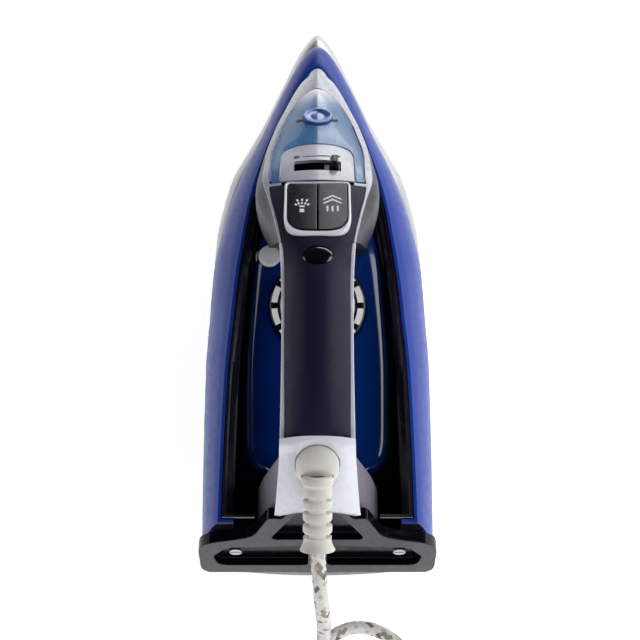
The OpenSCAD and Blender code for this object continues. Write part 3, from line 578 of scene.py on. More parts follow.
def window_plastic():
    """Clear blue nose cover, frosted with pearl towards the tip."""
    n = Nodes("window_plastic")
    y = n.axis("Y")
    frost = n.between(n.math("ADD", y, n.between(n.noise(120, 2), 0, 1, -0.0015, 0.0015)), 0.072, 0.0885)
    frost = n.math("POWER", frost, 1.3)
    blue = n.tint(n.noise(45, 3), linear("4f8fd0"), linear("6aa5dc"))
    n.set(Base_Color=n.tint(frost, blue, linear("e4e4ee")), IOR=1.49, Roughness=0.16)
    n.set(Alpha=n.between(frost, 0, 1, 0.4, 1.0), Coat_Weight=1.0, Coat_Roughness=0.02)
    n.bump(n.noise(150, 1), 0.03, 0.0004)
    return n.material


def tank_plastic_painted_shade_and_light():
    """Deep blue see-through tank, with painted shade that darkens it where the wall turns down and painted light
    that makes its top brighter on the right than on the left.
    """
    n = Nodes("tank_plastic_painted_shade_and_light")
    x = n.axis("X")
    # Painted shade: edge picks the sides where the wall turns down, and depth darkens them there.
    edge = n.between(n.math("ABSOLUTE", x), 0.021, 0.036)
    # Painted light: side makes the top darker on the left and brighter on the right.
    side = n.between(x, -0.03, 0.034)
    top = n.tint(side, linear("031a59"), linear("042c70"))
    depth = n.tint(edge, top, linear("020a2a"))
    cloud = n.between(n.noise(26, 3), 0.35, 0.7)
    n.set(Base_Color=n.tint(n.math("MULTIPLY", cloud, 0.35), depth, linear("08327e")), IOR=1.49)
    n.set(Roughness=n.between(n.noise(240, 2), 0.3, 0.7, 0.1, 0.16), Coat_Weight=0.7, Coat_Roughness=0.03)
    n.bump(n.noise(60, 2), 0.04, 0.0008)
    return n.material


def soft_touch():
    """Matt soft-touch coating with a fine grain."""
    n = plastic_nodes("soft_touch", "111430", 0.5, 0.05, grain=0.5, grain_scale=3400, peel=0.02,
                      mottle=0.1, scratches=0.08, wear=0.04)
    n.set(Sheen_Weight=0.04, Sheen_Roughness=0.5, Specular_IOR_Level=0.22)
    return n.material


def steel(name, code="b8bbc0", rough=0.28):
    """Brushed metal."""
    n = Nodes(name)
    fine = n.noise(1, 3, (60, 4200, 900))
    n.set(Base_Color=n.tint(fine, shaded(linear(code), 0.92), linear(code)), Metallic=1.0)
    n.set(Roughness=n.between(fine, 0.3, 0.7, rough - 0.06, rough + 0.08))
    n.bump(fine, 0.15, 0.00004)
    return n.material


def rubber(name, code):
    """Dull rubber that lets a little light in."""
    n = plastic_nodes(name, code, 0.55, 0.06, grain=0.35, grain_scale=2400, peel=0.06, mottle=0.05)
    n.set(Subsurface_Weight=0.06, Subsurface_Radius=(0.003, 0.002, 0.0015), Subsurface_Scale=0.4)
    return n.material


def yarn(name, code):
    """Textile yarn: fine fibres along and across each float, with painted shade in the hollows of its bundles."""
    n = Nodes(name)
    fibres = n.noise(2600, 4)
    bundle = n.noise(1100, 2)
    base = linear(code)
    # Painted shade: the colour drops to 0.78 of the base where the bundle bump is low, in its hollows.
    n.set(Base_Color=n.tint(n.between(bundle, 0.3, 0.7), shaded(base, 0.78), base), Roughness=0.8)
    n.set(Sheen_Weight=0.3, Sheen_Roughness=0.4)
    n.bump(bundle, 0.5, 0.0003)
    n.bump(fibres, 0.6, 0.00012)
    return n.material


M = {
    "silver": silver_paint(),
    "blue": plastic("blue_shell_gloss", "1a3c9c", 0.36, grain=0.16, specular=0.14, coat=0.08,
                    coat_rough=0.2, mottle=0.04, wear=0.12),
    "sign": plastic("printed_blue_grey", "4f68b4", 0.4, grain=0.1, peel=0),
    "rim": plastic("purple_grey_plastic", "15121e", 0.22, 0.04, grain=0.08, wear=0.1, coat=0.3),
    "deck": plastic("deck_gloss", "010208", 0.12, 0.03, grain=0.0, peel=0.03, coat=0.4, coat_rough=0.03,
                    mottle=0.2, scratches=0.12),
    "tank": tank_plastic_painted_shade_and_light(),
    "window": window_plastic(),
    "edge_blue": plastic("window_edge_blue", "143a8c", 0.2, coat=0.6),
    "neck": plastic("neck_blue", "2f6fb4", 0.15, grain=0.05, coat=0.8, coat_rough=0.03, mottle=0.08),
    "cap": plastic("cap_blue", "1d5cb8", 0.14, grain=0.05, coat=0.9, coat_rough=0.02, mottle=0.08,
                   alpha=0.86),
    "tray": plastic("tray_pearl", "b4cbe0", 0.45, mottle=0.06),
    "cheek": plastic("cheek_grey", "25222c", 0.42, grain=0.35, wear=0.1, specular=0.25),
    "pearl": plastic("pearl_white", "b4b6c4", 0.3, grain=0.1, coat=0.5, coat_rough=0.08, mottle=0.02),
    "mark": plastic("printed_black", "0a0a0e", 0.35, grain=0.1, peel=0),
    "black": plastic("black_gloss", "050509", 0.14, 0.03, grain=0.04, coat=0.5, coat_rough=0.03),
    "lever": plastic("lever_black", "08080c", 0.26, grain=0.08, specular=0.22),
    "trim": plastic("bright_trim", "e6e7ee", 0.2, grain=0.05, coat=0.7, coat_rough=0.04, mottle=0.02),
    "button": plastic("button_navy", "14151f", 0.13, 0.03, specular=0.3, grain=0.06, peel=0.01,
                      coat=0.08, coat_rough=0.08, wear=0.06),
    "icon": plastic("printed_white", "f2f2f6", 0.5, grain=0.1, peel=0),
    "grip": soft_touch(),
    "lens": plastic("dark_lens", "0c0b16", 0.2, 0.03, grain=0.04, coat=0.8, coat_rough=0.05),
    "white": plastic("handle_white", "e6e8f4", 0.3, grain=0.08, coat=0.5, coat_rough=0.08, mottle=0.015),
    "pillar": plastic("pillar_grey", "85828e", 0.35, grain=0.2, coat=0.2, wear=0.08),
    "dial": plastic("dial_black", "08080b", 0.25, grain=0.15, coat=0.4, wear=0.05),
    "scale": plastic("scale_white", "f4f4f6", 0.45, grain=0.1, peel=0),
    "dial_white": plastic("dial_white", "e9eaf2", 0.3, grain=0.08, coat=0.4, mottle=0.015),
    "heel": plastic("heel_charcoal", "28262f", 0.36, specular=0.25, grain=0.3, wear=0.12,
                    coat=0.15, coat_rough=0.2, mottle=0.08),
    "heel_dark": plastic("heel_pocket", "0c0b14", 0.16, 0.04, specular=0.12, grain=0.06,
                         mottle=0.15),
    "cream": rubber("cream_rubber", "e2e0d8"),
    "tie": rubber("tie_black", "17171a"),
    "plug": rubber("plug_rubber", "d6d4ca"),
    "sole": steel("sole_metal", "c2c4c8", 0.22),
    "steel": steel("bright_steel"),
    "brass": steel("plated_pins", "cfc9b8", 0.2),
    "casting": plastic("cast_aluminium", "9a9ca0", 0.5, grain=0.7, metallic=0.9, mottle=0.1),
    "inner_white": plastic("inner_white", "dededf", 0.45),
    "copper": steel("copper_wire", "b06a3f", 0.35),
    "led": plastic("led_red", "b01818", 0.25, coat=0.5),
}


# ---- Cord: its route, its braid ----
def coil_line():
    """Three turns inwards on the floor, then outwards on top of them."""
    turn = 2 * math.pi
    pitch, low, high = 6.85, 4.4, 11.35
    radii = [COIL_R + pitch, COIL_R, COIL_R - pitch, COIL_R - pitch, COIL_R, COIL_R + pitch]
    heights = [low] * 3 + [high] * 3
    line = []
    for k in range(int(5.5 * 40) + 1):
        a = k / 40 * turn
        step = (a + math.pi - math.radians(105)) / turn - 1
        i = max(0, min(4, int(math.floor(step))))
        t = min(1, max(0, (step - i) * 6)) if step >= 0 else 0
        t = t * t * (3 - 2 * t)
        r, z = mix(radii[i], radii[i + 1], t), mix(heights[i], heights[i + 1], t)
        if step < 0:
            r, z = radii[0], heights[0]
        line.append([COIL[0] + r * math.cos(a + math.pi), COIL[1] + r * math.sin(a + math.pi), z])
    return line


TAIL = [[PLUG_X, COIL[1] + y, z] for y, z in ((22, 12.4), (29, 14.4), (36, 17), (43, 18), (50, 18))]


def cord_line():
    inside = [list(SLEEVE @ Vector((0, 0, z))) for z in (18, 27)]
    return evenly(smooth(inside + LEAD, 8) + smooth(coil_line(), 3)[1:] + smooth(TAIL, 5), 1.55)


BRAID_DEPTH = 0.36


def braided(name, line, r, around=8):
    """Tube of diamonds, each one a float of yarn that stands proud in its middle."""
    way = directions(line)
    side = np.cross(way[0], [1, 0, 0])
    n = 2 * around
    rows = len(line)
    centre, normal_a, normal_b = line, [], []
    for w in way:
        side = side - w * (side @ w)
        side /= np.linalg.norm(side)
        normal_a.append(side)
        normal_b.append(np.cross(w, side))

    def point(i, k, size):
        a = math.pi * k / around
        return centre[i] + size * (normal_a[i] * math.cos(a) + normal_b[i] * math.sin(a))

    points, faces, kinds, index = [], [], [], {}
    groove = r - BRAID_DEPTH

    def vertex(i, k, size):
        key = (i, k % n)
        if key not in index:
            index[key] = len(points)
            points.append(point(i, k, size))
        return index[key]

    for i in range(1, rows - 1):
        for k in range(i % 2, n, 2):
            middle = vertex(i, k, r)
            ring = [vertex(i, k - 1, groove), vertex(i + 1, k, groove),
                    vertex(i, k + 1, groove), vertex(i - 1, k, groove)]
            p, q = ((i + k) // 2) % around, ((i - k) // 2) % around
            across = ((i // 2) + p) % 2 == 0
            kind = 0
            if across and p in (0, 1):
                kind = 1
            elif not across and q in (3,):
                kind = 2
            elif (p * 5 + q * 3 + i) % 11 == 0:
                kind = 3
            for m in range(4):
                faces.append((middle, ring[m], ring[(m + 1) % 4]))
                kinds.append(kind)
    for end, inner in ((0, 1), (rows - 1, rows - 2)):
        rim = [index[(end if (end, k) in index else inner, k)] for k in range(n)]
        points.append(centre[end])
        for k in range(n):
            faces.append((len(points) - 1, rim[k], rim[(k + 1) % n]))
            kinds.append(0)
    return mesh_object(name, points, faces), kinds


def make_cord():
    line = cord_line()
    cord, kinds = braided("power_cord", line, CORD_R)
    for code, name in (("f4f2ee", "yarn_white"), ("aaa193", "yarn_beige"), ("77757c", "yarn_dark"),
                       ("cfccca", "yarn_grey")):
        cord.data.materials.append(yarn(name, code))
    b = bmesh.new()
    b.from_mesh(cord.data)
    for f, kind in zip(b.faces, kinds):
        f.material_index = kind
        f.smooth = True
    bmesh.ops.recalc_face_normals(b, faces=b.faces)
    b.to_mesh(cord.data)
    b.free()
    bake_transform(cord)
    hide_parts("cord_lead", "cord_coil", "cord_tail")
    return cord


# ---- Sole and outer shells ----
BACK = -147
SIGN_Y = (-18, -34, -49, -65, -81)


def skirt():
    edge = outline(SOLE_W, 7.0, BACK)
    ledge = outline(LOW_W, LOW_Z, BACK, 0.3, -0.2)
    rows = [outline(SOLE_W, z, BACK, inset) for inset, z in ((0.7, 4.0), (0.2, 4.5), (0, 5.4))]
    rows.append(edge)
    for t in np.linspace(0.08, 1, 12):
        f, g = t * t * 0.6 + t * 0.4, 1 - (1 - t) ** 1.7
        rows.append(between(edge, ledge, f, g))
    lip = ((0.9, 0.15), (2.6, 0.1), (2.6, 4), (5, 4), (5, -2.5))
    rows += [outline(LOW_W, LOW_Z, BACK, inset, lift) for inset, lift in lip]
    rows += [outline(SOLE_W, 10.0, BACK, 2.4), outline(SOLE_W, 4.0, BACK, 2.4)]
    return piece(band("silver_skirt", rows), "housing", M["silver"], "lower_skirt")


def refined(rows, steps):
    """Rows of a table with rounded spans between them."""
    return [[float(v) for v in p] for p in smooth(rows, steps)]


def rear_cutter():
    return box_cutter("rear_cut", HEEL, (-80, -30, -6.1), (80, 130, 34))


def box_cutter(name, place, low, high):
    line = [(low[0], low[1]), (high[0], low[1]), (high[0], high[1]), (low[0], high[1])]
    return slab(name, line, low[2], high[2], place)


def shell():
    low, rim = outline(LOW_W, LOW_Z, -147.5), outline(RIM_W, RIM_Z, -136.8)
    low_in, rim_in = outline(LOW_W, LOW_Z, -147.5, WALL), outline(RIM_W, RIM_Z, -136.8, 1.6)
    shares = refined(SHELL_PROFILE, 4)
    outer = [between(low, rim, f, g) for f, g in shares]
    inner = [between(low_in, rim_in, f, g) for f, g in shares[::-3]]
    obj = band("side_shell_skin", outer + inner)
    carve(obj, rear_cutter(), box_cutter("rear_gap", HEEL, (-40, -30, -14), (40, 130, 26)))
    piece(obj, "housing", M["blue"], "side_shell", 0.45)
    paint(obj, M["rim"], at_rear)
    return obj


def head_solid(gap):
    return domed("head_solid", [cheek_loop(p, -gap) for p in CHEEK_PROFILE])


def cheek_loop(p, inset):
    """Loop round the head's cheeks: p is (bulge, rear end, tip, share of the height)."""
    k, back, tip, f = p
    table = [[y, at(FRAME_W, min(y, 108)) + k * at(CHEEK, y)] for y in range(int(back) - 6, 96, 6)]
    table += [[98 * tip / 108, 9 + k], [105 * tip / 108, 4.8 + 0.6 * k], [tip, 0]]

    def height(y):
        return mix(at(DECK_Z, y) + 0.4, at(RIDGE, y) - EDGE_DROP - 2.1, f)
    return outline(table, height, back, inset)


def rim():
    edge = ((2.2, -4), (1.8, -0.6), (2.3, -0.25), (3.0, -0.3), (3.7, -1.0))
    rows = [outline(RIM_W, RIM_Z, -136.4, inset, lift) for inset, lift in edge]
    rows += [outline(RIM_W, DECK_Z, -138, i, l) for i, l in ((5.6, 0.2), (6.4, -2.2), (5.2, -4.2))]
    obj = band("inner_rim_skin", rows)
    carve(obj, head_solid(0.15), box_cutter("pillar_gap", LEVEL, (-30, -150, 30), (30, -105, 90)))
    return piece(obj, "housing", M["rim"], "inner_rim", 0.25)


def deck_floor():
    rows = [outline(RIM_W, DECK_Z, -138, 5.6, -6.6), outline(RIM_W, DECK_Z, -138, 5.6, -4.4)]
    rows += [outline(TANK_W, DECK_Z, -113, -0.6, -4.6), outline(TANK_W, DECK_Z, -113, -0.6, -6.6)]
    obj = carve(band("deck_floor", rows), box_cutter("loom_gap", LEVEL, (-8, -129.5, 30), (8, -122.5, 60)))
    return piece(obj, "housing", M["deck"], "deck")


def tank_top():
    rows = [outline(TANK_W, DECK_Z, -113, i, l) for i, l in
            ((2.2, -9), (2.6, -6), (5, -3.6), (12.4, -2.2))]
    rows = [np.c_[r[:, :2], np.minimum(r[:, 2], 60)] for r in rows][::-1]
    rows.append(np.c_[outline(TANK_W, DECK_Z, -113)[:, :2], np.full(2 * HALF_N + 1, 32.4)])
    shape = [(0, -6), (0.3, -4.4), (1.2, -2.7), (2.6, -1.4), (4.4, -0.6), (7, -0.15), (10, 0.1), (13, 0.2)]
    rows += [outline(TANK_W, DECK_Z, -113, i, l) for i, l in shape]
    obj = domed("tank_top", rows)
    carve(obj, drill(DIAL_R + 0.8, -0.8, 20, DIAL, 96),
          drill(6.2, -12, 10, DIAL),
          drill(CLEAN_R + 0.5, -12, 20, Matrix.Translation(CLEAN)),
          drill(6.2, -60, 0, CAP),
          drill(3.6, 0, 40, tilted(30, 40, 0)))
    return piece(obj, "housing", M["tank"], "tank_upper", 0.3)


# ---- Head ----
def head_cheeks():
    rows = [cheek_loop(p, 0) for p in refined(CHEEK_PROFILE, 4)]
    inner = [cheek_loop(p, 2) for p in CHEEK_PROFILE[::-1]]
    obj = band("head_cheeks", rows + inner)
    carve(obj, drill(CLEAN_R + 0.9, -20, 20, Matrix.Translation(CLEAN)))
    return piece(obj, "housing", M["cheek"], "head_side", 0.3)


LEG_END = 17.1


def rim_points(table, tip, back, n, scale=1.0):
    """Points from the left rear round the tip to the right rear, spaced by share of their length."""
    h = half_line(table[:-1] + [[tip, 0]], back, 0)
    t = np.linspace(0, 1, n + 1) ** 1.25
    seg = lengths(h)
    x = np.interp(t * seg[-1], seg, h[:, 0]) * scale
    y = np.interp(t * seg[-1], seg, h[:, 1])
    right = np.c_[x, y]
    return np.r_[right[:0:-1] * [-1, 1], right]


def skin(a, b, steps, lift, thick, round_ends=0.0):
    """Section across the crowned top from a to b, with a back parallel to it."""
    top, low = [], []
    for s in range(steps + 1):
        t = s / steps
        x, y = mix(a[0], b[0], t), mix(a[1], b[1], t)
        fall = round_ends * (1 - min(1, min(t, 1 - t) * steps / 1.5)) ** 2
        top.append((x, y, crown(x, y) + lift - fall))
        low.append((x, y, crown(x, y) + lift - thick))
    return top + low[::-1]


def frame_skin():
    n = 90
    a, b = rim_points(FRAME_W, 108, 16.4, n), rim_points(WINDOW_W, 90.8, 16.4, n, 1.008)
    parts = [loft("f0", [skin(p, q, 6, 0, 2, 0.25) for p, q in zip(a, b)])]
    for s in (-1, 1):
        ys = np.linspace(16.5, -18, 30)
        parts.append(loft("f", [skin((s * at(FRAME_W, y), y), (s * (at(GRIP_W, y) + 0.25), y), 4, 0, 2, 0.2)
                                for y in ys]))
        ys = np.linspace(16.95, 15.15, 5)
        parts.append(loft("f", [skin((s * (at(FRAME_W, y) - 0.4), y), (s * 17.4, y), 5, -0.08, 1.9)
                                for y in ys]))
    return piece(joined("pearl_frame", parts), "housing", M["pearl"], "head_frame", 0.25)


def leg_round(p, q, y_end, r):
    """Draws the two rims together near the end of a leg, so that its end is round."""
    y = min(p[1], q[1])
    if y > y_end + r:
        return p, q
    k = math.sqrt(max(0, 1 - ((y_end + r - y) / r) ** 2))
    k = max(k, 0.02)
    m = (np.array(p) + np.array(q)) / 2
    half = abs(p[0] - q[0]) / 2
    draw = 1 - (r / half) * (1 - k)
    return m + (np.array(p) - m) * draw, m + (np.array(q) - m) * draw


def window_rims(n=110):
    """Pairs of points on the cover's outer and inner rim."""
    outer = rim_points(WINDOW_W, 90.2, LEG_END, n, 0.996)
    inner = rim_points(PANEL_W, 44.4, LEG_END, n, 1.006)
    return [leg_round(p, q, LEG_END, 2.0) for p, q in zip(outer, inner)]


def nose_cover():
    obj = loft("nose_cover", [skin(p, q, 12, -0.1, 1.8, 0.3) for p, q in window_rims()])
    carve(obj, drill(CAP_R + 0.4, -5, 7, CAP),
          box_cutter("c2", CAP, (-10.8, -2.8, -1.5), (10.8, -1.2, 4.5)))
    return piece(obj, "housing", M["window"], "nose_window", 0.2)


def window_lines():
    """Dark blue edges of the cover, along the panel and round the ends of its legs."""
    pairs = window_rims()
    inner, outer = [q for _, q in pairs], [p for p, _ in pairs if p[1] < 62]
    left = [p for p in outer if p[0] < 0][::-1]
    right = [p for p in outer if p[0] > 0]
    path = [[p[0], p[1], crown(p[0], p[1]) - 0.12] for p in left + inner + right[::-1]]
    line = tube("window_edge", evenly(path, 0.9), 0.34, 8)
    return piece(line, "housing", M["edge_blue"])


def tray():
    n = 60
    a, b = rim_points(FRAME_W, 98, 17, n, 0.86), rim_points(PANEL_W, 44.4, 17, n)
    obj = loft("nose_tray_skin", [skin(p, q, 8, -NECK_L, 1.6) for p, q in zip(a, b)])
    carve(obj, drill(10, -40, 10, CAP))
    return piece(obj, "housing", M["tray"], "nose_tray")


def neck():
    r = CAP_R + 1.2
    outside = [(4.8, -34), (6, -34), (6, -14), (9.2, -14), (9.4, -13.2), (9.3, -10), (r + 0.15, -4),
               (r, -2.6), (r - 0.3, -2.3)]
    inside = [(CAP_R + 0.6, -2.3), (CAP_R + 0.4, -2.6), (CAP_R + 0.4, -12.4), (4.8, -12.4)]
    return piece(lathe("filler_neck_skin", outside + inside, CAP, 72), "housing", M["neck"],
                 "filler_neck")


def flap():
    r = CAP_R
    shape = [(0, -1.8), (r - 0.5, -1.8), (r - 0.1, -1.5), (r, -1), (r, 0.5), (r - 0.15, 0.85),
             (r - 0.5, 1.0), (r - 1.1, 1.0), (r - 1.5, 0.8), (r - 1.7, 0.45), (r - 2.2, 0.28),
             (3, 0.34), (0, 0.42)]
    obj = lathe("filler_flap_skin", shape, CAP, 72)
    carve(obj, drill(0.68, -20, 20, moved(CAP, 0, -2, -0.7) @ Matrix.Rotation(math.pi / 2, 4, "Y"), 24))
    return piece(obj, "filler_flap", M["cap"], "filler_cap")


def decal(name, tree, outlines, place, lift=0.12, sink=0.1, up=30):
    """Thin printed shapes that follow the surface under them."""
    way = (place.to_3x3() @ Vector((0, 0, -1))).normalized()
    back = place.inverted()
    parts = []
    for line in outlines:
        top, low = [], []
        for x, y in line:
            hit = tree.ray_cast(place @ Vector((x, y, up)) * MM, way)[0]
            z = (back @ (hit / MM)).z if hit is not None else 0
            top.append((x, y, z + lift))
            low.append((x, y, z - sink))
        n = len(line)
        faces = strips(2, n) + [tuple(range(n)), tuple(range(n, 2 * n))]
        parts.append(outwards(mesh_object("part", low + top, faces, place)))
    return joined(name, parts) if len(parts) > 1 else rename(parts[0], name)


def rename(obj, name):
    obj.name = name
    obj.data.name = name
    return obj


def tree_of(obj):
    b = bmesh.new()
    b.from_mesh(obj.data)
    b.transform(obj.matrix_world)
    tree = BVHTree.FromBMesh(b)
    b.free()
    return tree


def panel():
    ys = np.linspace(43.9, 17.6, 60)
    obj = loft("control_panel_skin", [skin((width(PANEL_W, y), y), (-width(PANEL_W, y), y), 24, 0, 2, 0.15)
                                      for y in ys])
    slot = rounded([(-11.3, -4.3, 0.5), (11.3, -4.3, 0.5), (11.3, 4.3, 0.5), (0, 5.0, 30), (-11.3, 4.3, 0.5)])
    carve(obj, slab("c", slot, -8, 8, PANEL))
    piece(obj, "housing", M["pearl"], "control_panel", 0.3)
    tree = tree_of(obj)
    dot = [(-10.4 + 1.5 * math.cos(a) * (1 + 0.15 * math.cos(a)), 8.2 + 1.1 * math.sin(a))
           for a in np.linspace(0, 2 * math.pi, 28, endpoint=False)]
    bar = [(-7.2, 8.0), (-4, 7.95), (0, 8.05), (3.4, 8.2), (6.2, 8.35), (6.2, 8.9), (3.4, 9.0), (0, 8.95),
           (-4, 8.75), (-7.2, 8.4)]
    flame = [(7.6, 8.2), (9, 7.5), (10.4, 8.0), (11.2, 9.0), (10.3, 9.9), (8.9, 10.3), (7.8, 9.6), (8.4, 9.0)]
    marks = decal("panel_print", tree, [dot, bar, flame], PANEL)
    piece(marks, "housing", M["mark"], "panel_marks")


def slider():
    body = [(-2.3, -2), (2.3, -2), (2.2, 0.4), (2.0, 3.6), (1.2, 5.0), (-0.6, 5.2), (-1.7, 4.2), (-2.1, 1)]
    lever = slab("lever", body, -2.9, 2.9, moved(PANEL, 7.9, 0, -1) @ QUARTER_X)
    foot = slab("foot", rounded_box(3, -4, 11, 4, 0.6), -4.3, -1.7, PANEL)
    obj = joined("steam_lever", [lever, foot])
    piece(obj, "slider", M["lever"], "steam_slider", 0.5, segments=3)


def u_line(w, y0, y1, front, back):
    return rounded([(w / 2, y1, front), (-w / 2, y1, front), (-w / 2, y0, back), (w / 2, y0, back)], 14)


def buttons():
    inner, outer = u_line(28.7, -17.5, 14.5, 2, 10.4), u_line(31.2, -20.0, 15.7, 3, 11.8)
    n = len(inner)
    points = []
    loops = [(outer, -3.4), (outer, -0.9), (shrink(outer, 0.35), -0.35), (shrink(inner, -0.5), -0.3),
             (inner, -0.7), (inner, -3.4)]
    for line, z in loops:
        points += [(x, y, z) for x, y in line]
    trim = outwards(mesh_object("button_trim_ring", points, strips(len(loops), n, True), BUTTONS))
    piece(trim, "housing", M["trim"], "button_trim")
    for s, body, node in ((-1, "spray_plunger", "spray_button"), (1, "steam_plunger", "steam_button")):
        half = clip_half(u_line(28, -17.1, 14.1, 1.8, 9.9), s, 0.28)
        top = slab(node + "_key", half, -4, -0.25, BUTTONS)
        stem = lathe("stem", [(0, -14.9), (4.1, -14.9), (4.1, -12.7), (2, -12.7), (2, -3.9), (0, -3.9)],
                     moved(BUTTONS, s * 7.2, 3.5), 32)
        piece(joined(node + "_cap", [top, stem]), body, M["button"], node, 0.45, segments=3)
    icons()


def shrink(line, d):
    """Outline moved inwards by d."""
    p = np.array(line)
    way = np.roll(p, -1, 0) - np.roll(p, 1, 0)
    way /= np.linalg.norm(way, axis=1)[:, None] + 1e-9
    return [tuple(v) for v in p + np.c_[-way[:, 1], way[:, 0]] * d]


def clip_half(line, side, gap):
    out = []
    p = [(x * side, y) for x, y in line]
    for i, (x, y) in enumerate(p):
        u, v = p[(i + 1) % len(p)]
        if x >= gap:
            out.append((x, y))
        if (x - gap) * (u - gap) < 0:
            t = (gap - x) / (u - x)
            out.append((gap, mix(y, v, t)))
    return [(x * side, y) for x, y in out]


def icons():
    z0, z1 = -0.3, -0.1
    bars = []
    for k, angle in enumerate((-38, -19, 0, 19, 38)):
        for r0, r1, w in ((2.0, 3.1, 0.36), (4.0, 5.3, 0.42), (6.2, 7.5, 0.46)):
            if k in (0, 4) and r0 != 4.0:
                continue
            a = math.radians(90 + angle)
            d, s = np.array([math.cos(a), math.sin(a)]), np.array([-math.sin(a), math.cos(a)])
            c = np.array([-7.2, -4.2])
            bars.append([tuple(c + d * r0 + s * w), tuple(c + d * r0 - s * w),
                         tuple(c + d * r1 - s * w * 1.1), tuple(c + d * r1 + s * w * 1.1)])
    bars.append(rounded_box(-8.3, -5.6, -6.1, -3.4, 0.3, 4))
    obj = joined("spray_sign", [slab("b", b, z0, z1, BUTTONS) for b in bars])
    piece(obj, "spray_plunger", M["icon"])
    lines = [rounded_box(x - 0.45, -5.2, x + 0.45, -1.4, 0.2, 3) for x in (4.6, 7.0, 9.4)]
    for y in (0.8, 3.4):
        lines.append([(7.0, y + 2.6), (2.8, y), (2.8, y - 0.9), (7.0, y + 1.5), (11.2, y - 0.9), (11.2, y)])
    obj = joined("steam_sign", [slab("b", b, z0, z1, BUTTONS) for b in lines])
    piece(obj, "steam_plunger", M["icon"])


# ---- Handle ----
def cap_arc(w, drop, y, lift, steps):
    out = []
    for i in range(steps + 1):
        c = math.cos(math.pi * i / steps)
        x = w * math.copysign(abs(c) ** 0.8, c)
        out.append((x, y, at(RIDGE, y) + lift - drop * (abs(x) / w) ** 2.4))
    return out


def cap_section(w, drop, y, t, steps=40):
    return cap_arc(w, drop, y, 0, steps) + cap_arc(w - t, drop, y, -t, steps)[::-1]


def soft_grip():
    ys = list(np.linspace(15, -104, 100)) + [-105, -106, -106.8, -107.4, -107.8]
    sections = []
    for y in ys:
        end = max(0, (-y - 104) / 3.9)
        draw = 1 - math.sqrt(max(0, 1 - end * end))
        sections.append(cap_section(at(GRIP_W, y) - 3.2 * draw, at(GRIP_DROP, y), y, 2.6))
    obj = loft("soft_grip_skin", sections)
    cut = u_line(31.5, -20.4, 60, 3, 12.0)
    carve(obj, slab("c1", cut, -12, 8, BUTTONS), slab("c2", ellipse(7.15, 5.15), -10, 10, LENS))
    piece(obj, "housing", M["grip"], "grip", 0.35)
    dome = [(0, -0.1), (3, -0.14), (5, -0.3), (6.2, -0.55), (6.8, -1.0), (6.8, -3), (0, -3)]
    lens = lathe("indicator_glass", dome, LENS @ Matrix.Diagonal((1, 0.706, 1, 1)), 72)
    piece(lens, "housing", M["lens"], "indicator_lens")


def bowl_arc(w, top, low, y, steps):
    out = []
    for i in range(steps + 1):
        c, s = math.cos(math.pi * i / steps), math.sin(math.pi * i / steps)
        out.append((-w * math.copysign(abs(c) ** 0.7, c), y, top - (top - low) * max(0, s) ** 0.7))
    return out


def handle_body():
    sections = []
    for y in np.linspace(-18.4, -111.1, 70):
        w, top, low = at(FRAME_W, y), at(RIDGE, y) - at(GRIP_DROP, y) - 0.4, at(HANDLE_LOW, y)
        sections.append(bowl_arc(w, top, low, y, 36)
                        + bowl_arc(w - 2.2, top, max(low + 2.2, 95.2), y, 36)[::-1])
    piece(loft("handle_body", sections), "housing", M["white"], "handle_shell", 0.4)
    sections = []
    for y in np.linspace(-108.3, -137, 36):
        drop = mix(6.5, 11, min(1, max(0, (-y - 111.2) / 2.9)))
        sections.append(cap_section(at(FRAME_W, y), drop, y, WALL))
    cover = loft("rear_cover_skin", sections)
    carve(cover, drill(10.2, -12, 18, SWIVEL, 80),
          lathe("c2", [(0, -1.8), (11, -1.8), (17.4, 0.6), (0, 0.6)], SWIVEL, 80))
    piece(cover, "housing", M["white"], "rear_cover", 0.4)


def pillar():
    def loop(p, t=0.0):
        f, w, y0, y1, r = p
        w, y0, y1, r = w - t, y0 - t, y1 + t, max(1, r - 0.4 * t)
        out = []
        for cx, cy, start in ((1, 1, 0), (-1, 1, 90), (-1, -1, 180), (1, -1, 270)):
            for a in np.linspace(start, start + 90, 9):
                x = cx * (w - r) + r * math.cos(math.radians(a))
                y = (y0 - r if cy > 0 else y1 + r) + r * math.sin(math.radians(a))
                top = at(RIDGE, max(y, -138)) - (21 if y > -112.5 else 13.8)
                out.append((x, y, mix(at(DECK_Z, y) - 4.3, top, f)))
        return out
    rows = refined(PILLAR, 5)
    obj = band("rear_pillar_skin", [loop(p) for p in rows] + [loop(p, WALL) for p in rows[::-1]])
    piece(obj, "housing", M["pillar"], "rear_pillar", 0.3)


